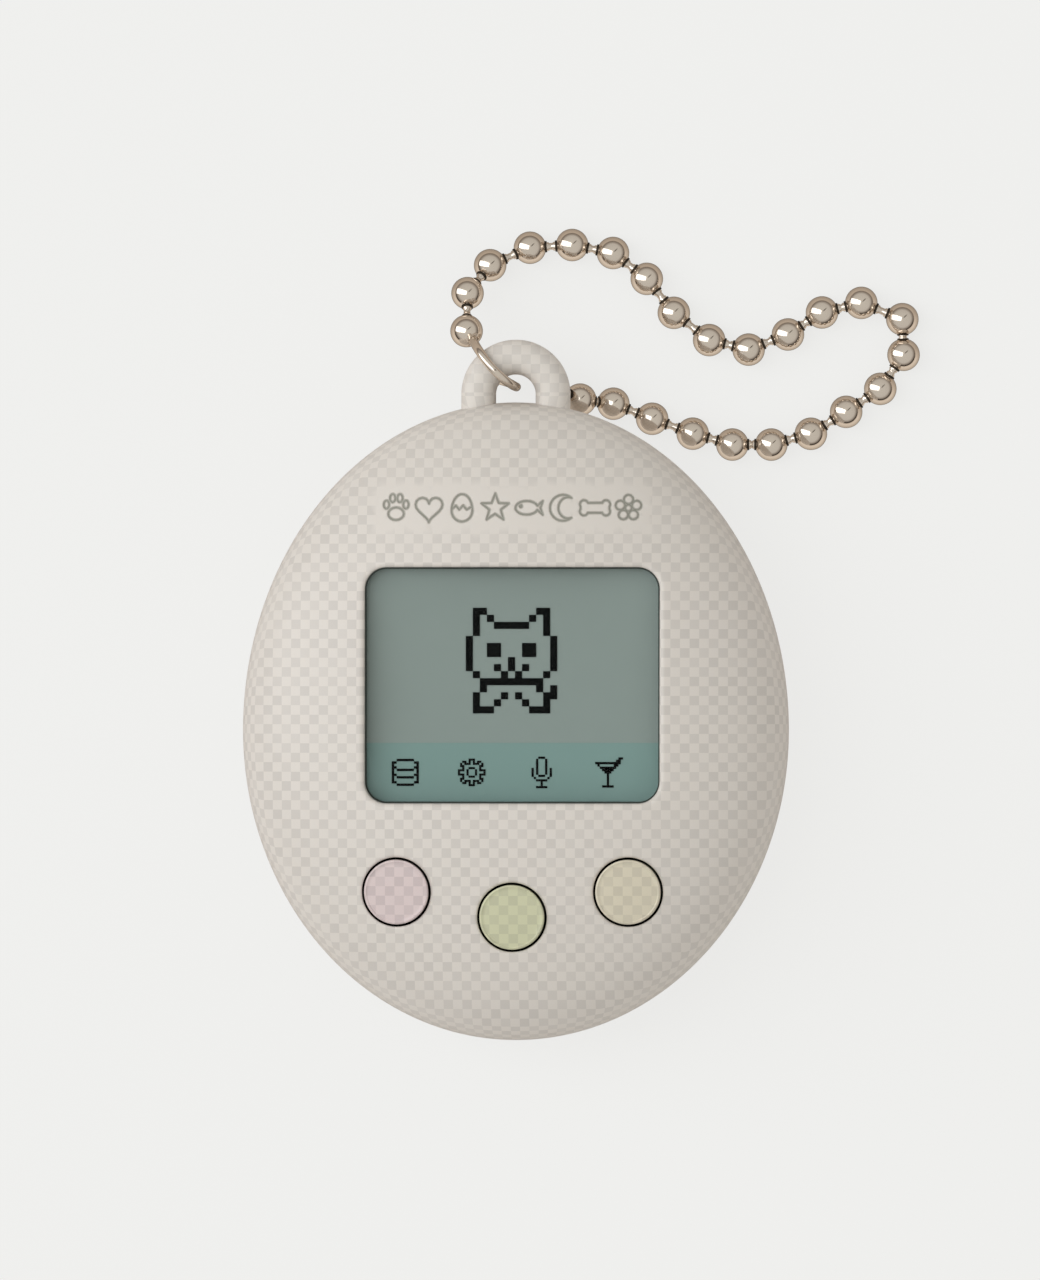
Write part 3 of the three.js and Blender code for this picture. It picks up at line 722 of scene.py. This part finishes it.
def front_height(x, y):
    z = PARTING + dome(x, y, HALF_WIDTH, FRONT_RISE)
    z = z - rolled(window_distance(x, y), ROLL, WINDOW_DROP)
    for bx, by in BUTTONS.values():
        z = z - rolled(np.hypot(x - bx, y - by) - BUTTON_HOLE, ROLL * 0.6, BUTTON_DROP)
    depth = np.clip(1 - groove_distance(x, y) / GROOVE_HALF, 0, 1)
    z = z - GROOVE_DEPTH * np.sqrt(depth)
    return np.maximum(z, PARTING + 2 * GROOVE)


def inner_front_height(x, y):
    z = PARTING + dome(x, y, HALF_WIDTH - WALL, FRONT_RISE - WALL)
    near_window = window_distance(x, y) < 1.0
    return np.where(near_window, np.minimum(z, LCD_TOP + 0.05), z)


def window_outline(margin, arc=14, side=40):
    width = WINDOW["width"] + 2 * margin
    height = WINDOW["height"] + 2 * margin
    return rounded_box(width, height, WINDOW["corner"] + margin, WINDOW["y"], arc, side)


def front_points():
    """Points inside the front outline: rings that follow the rim, offset loops at the cuts,
    a fine grid near the engraved lines and a coarse one in between."""
    points = []
    for rho in rim_rhos(46):
        points.extend(egg_ring(rho, 220 if rho > 0.8 else 140))
    grid = np.array(points)
    clear = window_distance(grid[:, 0], grid[:, 1]) > ROLL + 0.3
    for bx, by in BUTTONS.values():
        clear &= np.hypot(grid[:, 0] - bx, grid[:, 1] - by) > BUTTON_HOLE + ROLL + 0.2
    clear &= ~((np.abs(grid[:, 1] - PICTOGRAM_Y) < 1.35) & (np.abs(grid[:, 0]) < PATCH["x"]))
    points = [tuple(p) for p in grid[clear]]
    steps = [ROLL * f for f in (0.06, 0.15, 0.28, 0.45, 0.7, 1.0)] + [ROLL + 0.25]
    for step in steps:
        points.extend(window_outline(step))
    for bx, by in BUTTONS.values():
        for step in steps[:-1]:
            points.extend(circle(BUTTON_HOLE + 0.6 * step, bx, by, 96))
        points.extend(circle(BUTTON_HOLE + ROLL + 0.1, bx, by, 64))
    fine = 0.05
    xs, ys = np.meshgrid(np.arange(-PATCH["x"], PATCH["x"], fine), np.arange(-1.3, 1.3, fine) + PICTOGRAM_Y)
    xs, ys = xs.ravel(), ys.ravel()
    reach = groove_distance(xs, ys)
    columns = np.round(xs / fine).astype(int)
    rows = np.round((ys - PICTOGRAM_Y) / fine).astype(int)
    keep = (reach < GROOVE_HALF + 0.06) | ((columns % 6 == 0) & (rows % 6 == 0))
    points.extend(zip(xs[keep], ys[keep]))
    return [(float(x), float(y)) for x, y in points]


def inner_points(radius):
    points = []
    for rho in rim_rhos(16):
        points.extend(egg_ring(rho, 72, radius))
    return points


def clear_points(points, loops, margin=0.25):
    """Drops the points that lie in or close to one of the loops."""
    grid = np.array(points)
    keep = np.ones(len(grid), bool)
    for loop in loops:
        ring = np.array(loop)
        middle = ring.mean(axis=0)
        grown = middle + (ring - middle) * (1 + margin / np.abs(ring - middle).max())
        keep &= ~inside(grid, grown)
    return [tuple(p) for p in grid[keep]]


def print_uv(bm, rise):
    """UV in check widths: flat in plan, and carried on down the steep wall of a dome of that rise."""
    layer = bm.loops.layers.uv.new("print")
    steep = 0.95
    for face in bm.faces:
        for loop in face.loops:
            x, y, z = loop.vert.co
            rho = float(egg_rho(np.array(x), np.array(y)))
            stretch = 0.0
            if rise and steep < rho < 1.02:
                turned_y = WIDEST_Y + (y - WIDEST_Y) * steep / rho
                edge = dome(np.array(x) * steep / rho, turned_y, HALF_WIDTH, rise)
                stretch = max(0.0, float(edge) - abs(z - PARTING)) * 0.8
            length = math.hypot(x, y - WIDEST_Y) or 1.0
            u = x + x / length * stretch
            v = y + (y - WIDEST_Y) / length * stretch
            loop[layer].uv = (u / CHECK + 0.35, v / CHECK + 0.2)


def mark_patch(made):
    """Vertex marks: the plain strip behind the pictograms, and painted shade along the engraved lines."""
    mesh = made.data
    count = len(mesh.vertices)
    co = np.empty(count * 3)
    mesh.vertices.foreach_get("co", co)
    x, y, z = (co.reshape(-1, 3) / MM).T
    distance = box_distance(x, y, 2 * PATCH["x"], PATCH["high"] - PATCH["low"], 0.5,
                            (PATCH["high"] + PATCH["low"]) / 2)
    plain = np.clip(-distance / 0.12 + 0.5, 0, 1) * (z > PARTING + 4)
    depth = np.clip(1 - groove_distance(x, y) / (GROOVE_HALF + 0.03), 0, 1) * (z > PARTING + 4)
    # groove: how much painted shade each point of the engraved lines takes
    for name, values in (("plain", plain), ("groove", np.minimum(1, depth * 1.3) * 0.8)):
        layer = mesh.attributes.new(name, "FLOAT", "POINT")
        layer.data.foreach_set("value", values.astype(np.float32))


def ear_mesh(bm, side):
    """Half of the ear: a D-shaped section swept up one leg, over the arch and down the other."""
    middle = (EAR["radius"] + EAR["hole"]) / 2
    half_width = (EAR["radius"] - EAR["hole"]) / 2
    section = [(half_width * math.copysign(abs(math.cos(t)) ** 0.8, math.cos(t)),
                0.02 + (EAR["half"] - 0.02) * math.sin(t) ** 0.8)
               for t in [math.pi * i / 18 for i in range(19)]]
    foot = EAR["y"] - 2.1
    route = [(middle, foot, 0.0), (middle, EAR["y"] - 1, 0.0)]
    route += [(middle * math.cos(t), EAR["y"] + middle * math.sin(t), t)
              for t in [math.pi * i / 48 for i in range(49)]]
    route += [(-middle, EAR["y"] - 1, math.pi), (-middle, foot, math.pi)]
    rings = []
    for x, y, turn in route:
        outward = (math.cos(turn), math.sin(turn))
        rings.append(add_ring(bm, [(x + outward[0] * w, y + outward[1] * w, PARTING + side * h)
                                   for w, h in section]))
    for first, second in zip(rings, rings[1:]):
        join_rings(bm, first, second)
    bm.faces.new(rings[0])
    bm.faces.new(rings[-1])


def make_front_shell():
    bm = bmesh.new()
    outline = egg_ring(1.0, 220)
    window = window_outline(0)
    holes = {key: circle(BUTTON_HOLE, x, y, 96) for key, (x, y) in BUTTONS.items()}
    outer = fill_surface(bm, [outline, window, *holes.values()], front_points(), front_height)
    inner_rim = egg_ring(1.0, 220, HALF_WIDTH - WALL)
    opening = window_outline(-LEDGE)
    cuts = [window_outline(1.2), *[circle(BUTTON_HOLE + 0.3, x, y) for x, y in BUTTONS.values()]]
    inner_extra = clear_points(inner_points(HALF_WIDTH - WALL), cuts)
    inner_extra += window_outline(0.95) + window_outline(1.05)
    inner = fill_surface(bm, [inner_rim, opening, *holes.values()], inner_extra, inner_front_height, False)
    groove = step_to(bm, outer[0], egg_ring(1 - GROOVE / HALF_WIDTH, 220), PARTING)
    join_rings(bm, groove, inner[0])
    ledge = step_to(bm, wall_down(bm, outer[1], LEDGE_Z), opening, LEDGE_Z)
    join_rings(bm, ledge, inner[1])
    # the walls of the button holes take the painted shade of the gap
    for above, below in zip(outer[2:], inner[2:]):
        join_rings(bm, above, below, 1)
    ear_mesh(bm, 1)
    print_uv(bm, FRONT_RISE)
    made = finish_mesh(bm, "front_shell_skin", [CASE_PRINT, GAP_PAINTED_SHADE])
    mark_patch(made)
    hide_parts("front_shell")
    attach(made, "case")


# ---- rear shell and battery cover ----

EDGE_ROLL = 0.22  # width and depth of the rounded edge at the cover and at each screw hole
EDGE_DROP = 0.12
EDGE_STEPS = (0.02, 0.06, 0.12, EDGE_ROLL)
FLAT_BLEND = 0.12  # how softly the back turns into its flat
FLAT_SINK = 0.017
INNER_GAP = 0.02  # keeps the halves of the case apart at the parting


def back_height(x, y):
    """The back dome, turned over softly into the flat that the toy rests on."""
    raw = PARTING - dome(x, y, HALF_WIDTH, BACK_DROP)
    soft = 0.5 * (raw + np.sqrt(raw * raw + FLAT_BLEND)) - FLAT_SINK
    return np.clip(soft, 0, PARTING - 2 * GROOVE)


def inner_back_height(x, y):
    return np.maximum(PARTING - dome(x, y, HALF_WIDTH - WALL, BACK_DROP - WALL), WALL)


def cell_outline(half):
    """Round both cells: two half circles of that radius with straight sides."""
    return rounded_box(2 * (CELL["x"] + half), 2 * half, half - 0.01, CELL["y"], 24, 30)


def cell_distance(x, y, half):
    return box_distance(x, y, 2 * (CELL["x"] + half), 2 * half, half - 0.01, CELL["y"])


def rear_height(x, y):
    z = back_height(x, y)
    z = z + rolled(cell_distance(x, y, COVER_HALF), EDGE_ROLL, EDGE_DROP)
    for sx, sy in CASE_SCREWS:
        z = z + rolled(np.hypot(x - sx, y - sy) - SCREW_HOLE, EDGE_ROLL, EDGE_DROP)
    return z


def make_rear_shell():
    bm = bmesh.new()
    count = 220
    outline = egg_ring(1.0, count)
    recess = cell_outline(COVER_HALF)
    holes = [circle(SCREW_HOLE, x, y, 48) for x, y in CASE_SCREWS]
    extra = []
    for rho in rim_rhos(44):
        extra.extend(egg_ring(rho, count if rho > 0.8 else 120))
    rims = [circle(SCREW_HOLE + 0.35, x, y) for x, y in CASE_SCREWS]
    extra = clear_points(extra, [cell_outline(COVER_HALF + 0.3), *rims], 0)
    for step in EDGE_STEPS:
        extra.extend(cell_outline(COVER_HALF + step))
        for x, y in CASE_SCREWS:
            extra.extend(circle(SCREW_HOLE + step, x, y, 48))
    outer = fill_surface(bm, [outline, recess, *holes], extra, rear_height, False)
    inner_rim = egg_ring(1.0, count, HALF_WIDTH - WALL)
    well = cell_outline(WELL_HALF + 0.9)
    bosses = [circle(BOSS["radius"], x, y, 48) for x, y in CASE_SCREWS]
    inner_extra = clear_points(inner_points(HALF_WIDTH - WALL), [well, *bosses])
    inner = fill_surface(bm, [inner_rim, well, *bosses], inner_extra, inner_back_height)
    groove = step_to(bm, outer[0], egg_ring(1 - GROOVE / HALF_WIDTH, count), PARTING - INNER_GAP)
    flat = step_to(bm, groove, inner_rim, PARTING - INNER_GAP)
    join_rings(bm, flat, inner[0])
    floor_z = COVER_Z + 0.12
    ledge = step_to(bm, wall_down(bm, outer[1], floor_z), cell_outline(WELL_HALF), floor_z)
    cap_ring(bm, wall_down(bm, ledge, CELL_CEILING), (0, CELL["y"], CELL_CEILING))
    cap_ring(bm, wall_down(bm, inner[1], CELL_ROOF), (0, CELL["y"], CELL_ROOF))
    for ring, boss, (x, y) in zip(outer[2:], inner[2:], CASE_SCREWS):
        cap_ring(bm, wall_down(bm, ring, BOSS["seat"]), (x, y, BOSS["seat"]))
        cap_ring(bm, wall_down(bm, boss, PARTING - INNER_GAP), (x, y, PARTING - INNER_GAP))
    ear_mesh(bm, -1)
    print_uv(bm, BACK_DROP)
    made = finish_mesh(bm, "rear_shell_skin", [CASE_PRINT])
    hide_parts("rear_shell")
    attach(made, "case")


COVER_GAP = 0.12
COVER_DROP = 0.14
RIB = {"half": 0.16, "depth": 0.1}  # the arrow of thumb grooves


def make_cover():
    bm = bmesh.new()
    half = COVER_HALF - COVER_GAP
    outline = cell_outline(half)
    hole = circle(SCREW_HOLE, 0, COVER_SCREW_Y, 48)

    def height(x, y):
        z = back_height(x, y) + rolled(-cell_distance(x, y, half), EDGE_ROLL, COVER_DROP)
        ribs = np.zeros_like(z)
        for i in range(5):
            rib_y = CELL["y"] - 3.9 + 0.55 * i
            reach = np.clip(1 - np.abs(y - rib_y) / RIB["half"], 0, 1)
            ribs = np.maximum(ribs, reach * (np.abs(x) < 2.6 - 0.45 * i))
        z = z + RIB["depth"] * np.sqrt(ribs)
        return z + rolled(np.hypot(x, y - COVER_SCREW_Y) - SCREW_HOLE, EDGE_ROLL, EDGE_DROP)

    extra = []
    for inset in (*EDGE_STEPS, 0.6, 1.2, 2.0, 3.0, 4.0):
        extra.extend(cell_outline(half - inset))
    xs, ys = np.meshgrid(np.arange(-3, 3, 0.12), np.arange(-4.4, -1.2, 0.05) + CELL["y"])
    extra.extend(zip(xs.ravel().tolist(), ys.ravel().tolist()))
    extra = clear_points(extra, [circle(SCREW_HOLE + 0.3, 0, COVER_SCREW_Y)], 0)
    for step in EDGE_STEPS:
        extra.extend(circle(SCREW_HOLE + step, 0, COVER_SCREW_Y, 48))
    outer = fill_surface(bm, [outline, hole], extra, height, False)
    shaft = circle(SCREW_SHAFT, 0, COVER_SCREW_Y, 48)
    inner = fill_surface(bm, [outline, shaft], [], lambda x, y: np.full(len(x), COVER_Z))
    join_rings(bm, outer[0], inner[0])
    seat = step_to(bm, wall_down(bm, outer[1], SCREW_SEAT), shaft, SCREW_SEAT)
    join_rings(bm, seat, inner[1])
    print_uv(bm, 0)
    made = finish_mesh(bm, "battery_cover_skin", [CASE_PRINT])
    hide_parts("battery_cover")
    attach(made, "cover")


# ---- buttons ----

BUTTON_ROLL = 0.14
BUTTON_DISH = 0.07  # how far the top is sunk inside its rim


def make_button(key, place):
    x0, y0 = place
    bm = bmesh.new()
    count = 96
    roll = BUTTON_ROLL

    def top_ring(radius, sink):
        ring = circle(radius, x0, y0, count)
        xs, ys = np.array(ring).T
        z = PARTING + dome(xs, ys, HALF_WIDTH, FRONT_RISE + BUTTON_PROUD) - sink
        return add_ring(bm, [(x, y, h) for (x, y), h in zip(ring, z)])

    rings = []
    for i in range(1, 12):
        rings.append(top_ring((BUTTON_R - roll - 0.09) * i / 11, BUTTON_DISH))
    rings.append(top_ring(BUTTON_R - roll, 0.0))
    for i in range(1, 7):
        turn = math.pi / 2 * i / 6
        rings.append(top_ring(BUTTON_R - roll + roll * math.sin(turn), roll * (1 - math.cos(turn))))
    side = len(rings) - 1
    for radius, height in ((BUTTON_R, FLANGE_HEIGHT), (FLANGE_R - 0.05, FLANGE_HEIGHT),
                           (FLANGE_R, FLANGE_HEIGHT - 0.05), (FLANGE_R, 0.03), (FLANGE_R - 0.05, 0),
                           (1.6, 0), (1.5, 0.15)):
        z = BUTTON_FOOT + height
        rings.append(add_ring(bm, [(x, y, z) for x, y in circle(radius, x0, y0, count)]))
    # the flange below the rim takes the painted shade of the gap round the button
    for step, (first, second) in enumerate(zip(rings, rings[1:])):
        join_rings(bm, first, second, 1 if side < step < side + 5 else 0)
    crown = dome(np.array(x0), np.array(y0), HALF_WIDTH, FRONT_RISE + BUTTON_PROUD)
    top = PARTING + float(crown) - BUTTON_DISH
    cap_ring(bm, rings[0], (x0, y0, top))
    cap_ring(bm, rings[-1], (x0, y0, BUTTON_FOOT + 0.15))
    print_uv(bm, 0)
    made = finish_mesh(bm, f"button_{key}_skin", [BUTTON_PRINTS[key], GAP_PAINTED_SHADE], 40)
    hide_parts(f"button_{key}")
    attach(made, f"{key}_button")


# ---- screen ----

def slab(name, outline_at, low, high, bevel, materials, steps=4):
    """A flat plate with rounded top and bottom edges. outline_at(margin) gives its outline."""
    bm = bmesh.new()
    rings = []
    for z, sign in ((low, -1), (high, 1)):
        turns = [math.pi / 2 * i / steps for i in range(steps + 1)]
        turns = turns[::-1] if sign < 0 else turns
        for turn in turns:
            margin = -bevel * (1 - math.cos(turn))
            height = z - sign * bevel * (1 - math.sin(turn))
            rings.append(add_ring(bm, [(x, y, height) for x, y in outline_at(margin)]))
    close_tube(bm, rings)
    return finish_mesh(bm, name, materials)


def make_lens():
    bevel = 0.12

    def outline_at(margin):
        return window_outline(margin - 0.13, 12, 4)

    made = slab("screen_lens_skin", outline_at, LEDGE_Z + 0.1, LENS_TOP, bevel, [LENS_CLEAR])
    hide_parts("screen_lens")
    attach(made, "case")


def add_prism(bm, outline, low, high):
    close_tube(bm, [add_ring(bm, [(x, y, z) for x, y in outline]) for z in (low, high)])


PET = (
    ".##.......##.",
    ".#.#.....#.#.",
    ".#..#####..#.",
    ".#.........#.",
    "#...........#",
    "#..##...##..#",
    "#..##...##..#",
    "#.....#.....#",
    "#...#.#.#...#",
    ".#...#.#...#.",
    "..#########..",
    "..#.......#.#",
    ".#...#.#...##",
    ".#..#...#..#.",
    ".###.....###.",
)
DRUM = (
    "..#######..",
    "##.......##",
    "#.........#",
    "##.......##",
    "#.#######.#",
    "#.........#",
    "##.......##",
    "#.#######.#",
    "#.........#",
    "##.......##",
    "..#######..",
)
GEAR = (
    ".....###.....",
    "..##.#.#.##..",
    ".#.###.###.#.",
    ".##.......##.",
    "..#..###..#..",
    "###.#...#.###",
    "#...#...#...#",
    "###.#...#.###",
    "..#..###..#..",
    ".##.......##.",
    ".#.###.###.#.",
    "..##.#.#.##..",
    ".....###.....",
)
MICROPHONE = (
    "...###...",
    "..#...#..",
    "..#...#..",
    "..#...#..",
    "..#...#..",
    "#.#...#.#",
    "#.#...#.#",
    "#.#...#.#",
    "#..###..#",
    ".#.....#.",
    "..#####..",
    "....#....",
    "....#....",
    "..#####..",
)
GLASS = (
    "..........##.",
    ".........##..",
    "###########..",
    ".#......##...",
    "..#######....",
    "...#####.....",
    "....###......",
    ".....#.......",
    ".....#.......",
    ".....#.......",
    ".....#.......",
    ".....#.......",
    "...#####.....",
)
PICTURES = [  # picture, width of one pixel, and the middle of the picture
    (PET, 0.513, (-0.1, 4.5)), (DRUM, 0.18, (-7.85, -3.65)), (GEAR, 0.155, (-3.0, -3.65)),
    (MICROPHONE, 0.165, (2.1, -3.65)), (GLASS, 0.17, (7.1, -3.65)),
]
PICTURE_LOW = LEDGE_Z + 0.02
PICTURE_BAND = LEDGE_Z + 0.04
PICTURE_INK = LEDGE_Z + 0.06
PICTURE_TOP = LEDGE_Z + 0.08
BAND_TOP = -1.5


def make_pictures():
    """The dark pixels of the pet and the menu, each a small flat block."""
    bm = bmesh.new()
    for rows, pixel, (x0, y0) in PICTURES:
        left = x0 - pixel * len(rows[0]) / 2
        top = y0 + pixel * len(rows) / 2
        for row, line in enumerate(rows):
            for column, mark in enumerate(line):
                if mark != "#":
                    continue
                x, y = left + column * pixel, top - row * pixel
                add_prism(bm, [(x, y - pixel), (x + pixel, y - pixel), (x + pixel, y), (x, y)],
                          PICTURE_INK, PICTURE_TOP)
    return finish_mesh(bm, "screen_pictures", [LCD_INK])


def make_film(name, outline, low, high, material):
    bm = bmesh.new()
    add_prism(bm, outline, low, high)
    return finish_mesh(bm, name, [material])


def make_screen():
    """The lens carries the screen's face on its back: two films and the pictures on them."""
    make_lens()
    whole = window_outline(-0.1, 12, 4)
    band = [(x, min(y, BAND_TOP)) for x, y in whole if y < BAND_TOP + 2]
    face = make_film("screen_face", whole, LEDGE_Z, PICTURE_LOW, LCD_UPPER)
    menu = make_film("screen_menu_band", band, PICTURE_LOW, PICTURE_BAND, LCD_BAND)
    # a thin dark ring round the window's edge: painted shade of the gap between lens and shell
    bm = bmesh.new()
    inner = window_outline(-0.12)
    outer = window_outline(-0.01)
    levels = ((outer, PICTURE_LOW), (outer, LENS_TOP - 0.1), (inner, LENS_TOP - 0.1), (inner, PICTURE_LOW))
    rings = [add_ring(bm, [(x, y, z) for x, y in ring]) for ring, z in levels]
    for first, second in zip(rings, rings[1:] + rings[:1]):
        join_rings(bm, first, second)
    edge_shade = finish_mesh(bm, "screen_edge_painted_shade", [WINDOW_EDGE_PAINTED_SHADE])
    for piece in (face, menu, make_pictures(), edge_shade):
        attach(piece, "case")


# ---- chain ----

def turned_piece(bm, profile, start, direction, count, dark=()):
    """Revolves [radius, distance] points about a line. The steps in dark take the second material."""
    turn = Vector((0, 0, 1)).rotation_difference(direction)
    rings = []
    for radius, along in profile:
        ring = [start + turn @ Vector((x, y, along)) for x, y in circle(radius, count=count)]
        rings.append(add_ring(bm, ring))
    for step, (first, second) in enumerate(zip(rings, rings[1:])):
        join_rings(bm, first, second, 1 if step in dark else 0)
    bm.faces.new(rings[0][::-1])
    bm.faces.new(rings[-1])


def ball_mesh(bm, centre, axis):
    """A pressed ball with its poles on the chain's line, where the pins cover them."""
    steps = 44
    pole = 0.03
    turns = [pole + (math.pi - 2 * pole) * i / steps for i in range(steps + 1)]
    turned_piece(bm, [(BALL_R * math.sin(t), -BALL_R * math.cos(t)) for t in turns], centre, axis, 48)


PIN_SUNK = 0.08  # how far a pin reaches into its balls


def rod_mesh(bm, start, end):
    """A dumbbell pin: a waist between two shoulders, each end in a collar of painted shadow where it enters
    its ball.
    """
    span = (end - start).length
    seam = min(0.22 * span, 0.13)
    shoulder = min(0.36 * span, 0.24)
    waist = min(0.46 * span, 0.34)
    half = [(0.2, 0), (0.43, 0), (0.42, seam), (0.33, seam), (0.33, shoulder), (0.25, waist)]
    profile = half + [(radius, span - along) for radius, along in reversed(half)]
    last = len(profile) - 2
    # the steps at each end take the painted shadow
    turned_piece(bm, profile, start, (end - start).normalized(), 20, (0, 1, 2, last - 2, last - 1, last))


def ball_centre(node_name):
    """The ball's centre: a sphere fitted to the link's vertices, then to those that lie on it."""
    points = np.array([tuple(v.co) for v in frame["nodes"][node_name].data.vertices]) / MM
    on_ball = np.ones(len(points), bool)
    for tolerance in (0.6, 0.3, 0.1, 0.03):
        matrix = np.c_[2 * points[on_ball], np.ones(on_ball.sum())]
        centre = np.linalg.lstsq(matrix, (points[on_ball] ** 2).sum(axis=1), rcond=None)[0][:3]
        on_ball = np.abs(np.linalg.norm(points - centre, axis=1) - BALL_R) < tolerance
    return Vector(centre)


def make_chain():
    names = [f"chain_link_{i:02d}" for i in range(1, LINKS + 1)]
    centres = [ball_centre(name) for name in names]
    bodies = frame["record"]["behaviour"]["bodies"]
    for i, name in enumerate(names):
        centre = centres[i]
        bm = bmesh.new()
        if i + 1 < len(names):
            direction = (centres[i + 1] - centre).normalized()
            inset = direction * (BALL_R - PIN_SUNK)
            rod_mesh(bm, centre + inset, centres[i + 1] - inset)
        else:
            direction = (centre - centres[i - 1]).normalized()
        ball_mesh(bm, centre, direction)
        made = finish_mesh(bm, f"{name}_skin", [CHAIN_METAL, CHAIN_PAINTED_SHADOW], 50)
        body = next(b for b, nodes in bodies.items() if name in nodes)
        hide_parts(name)
        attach(made, body)


def smooth_route(points, per_span=8):
    """A Catmull-Rom curve through the points."""
    pts = [Vector(p) for p in points]
    pts = [2 * pts[0] - pts[1], *pts, 2 * pts[-1] - pts[-2]]
    route = []
    for a, b, c, d in zip(pts, pts[1:], pts[2:], pts[3:]):
        for i in range(per_span):
            t = i / per_span
            route.append(0.5 * ((2 * b) + (c - a) * t + (2 * a - 5 * b + 4 * c - d) * t * t
                                + (3 * b - 3 * c + d - a) * t ** 3))
    route.append(pts[-2])
    return route


def tube(bm, route, radii, count=24):
    tangent = (route[1] - route[0]).normalized()
    normal = tangent.orthogonal().normalized()
    rings = []
    for i, point in enumerate(route):
        ahead = route[min(i + 1, len(route) - 1)] - route[max(i - 1, 0)]
        ahead.normalize()
        normal = (normal - ahead * normal.dot(ahead)).normalized()
        side = ahead.cross(normal)
        ring = [point + radii[i] * (normal * math.cos(a) + side * math.sin(a))
                for a in [2 * math.pi * k / count for k in range(count)]]
        rings.append(add_ring(bm, ring))
    close_tube(bm, rings)


def make_hook():
    bm = bmesh.new()
    route = smooth_route(ROUTE_HOOK)
    last = len(route) - 1
    ends = [min(i, last - i, 4) / 4 for i in range(len(route))]
    radii = [WIRE_R * (0.5 + 0.5 * math.sqrt(end)) for end in ends]
    tube(bm, route, radii)
    made = finish_mesh(bm, "chain_hook_skin", [CHAIN_METAL], 50)
    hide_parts("chain_hook")
    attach(made, "chain_root")


# ---- pieces inside the case keep their CAD shapes ----

INSIDE = {
    "lcd_panel": LCD_UPPER,
    "lcd_reflector": metal("reflector_film", (0.6, 0.62, 0.58), rough=0.35),
    "lcd_frame": plastic("frame_plastic", (0.7, 0.69, 0.66)),
    "zebra_strip": plastic("zebra_rubber", (0.62, 0.28, 0.36), rough=0.7),
    "circuit_board": plastic("board_mask", (0.03, 0.15, 0.065), rough=0.4, variation=0.25),
    "processor_blob": plastic("processor_resin", (0.008, 0.008, 0.009), rough=0.3),
    "clock_crystal": CONTACT_METAL,
    "capacitor_1": plastic("capacitor_epoxy", (0.42, 0.26, 0.09), rough=0.5),
    "rubber_keypad": plastic("keypad_rubber", (0.26, 0.27, 0.28), rough=0.8),
    "piezo_sounder": SOUNDER_METAL,
    "button_cell_1": CELL_METAL,
    "button_cell_2": CELL_METAL,
    "contact_positive": CONTACT_METAL,
    "contact_negative": CONTACT_METAL,
    "contact_bridge": CONTACT_METAL,
    "battery_cover_screw": SCREW_METAL,
    **{f"case_screw_{i}": SCREW_METAL for i in range(1, 5)},
}
INSIDE["capacitor_2"] = INSIDE["capacitor_1"]


def dress_cad_nodes():
    for name, material in INSIDE.items():
        mesh = frame["nodes"][name].data
        mesh.materials.clear()
        mesh.materials.append(material)


make_camera()
make_world()
make_floor()
add_softbox("key", **KEY)
bpy.context.scene.view_settings.view_transform = "Standard"
make_front_shell()
make_rear_shell()
make_cover()
for button, where in BUTTONS.items():
    make_button(button, where)
make_screen()
make_chain()
make_hook()
dress_cad_nodes()
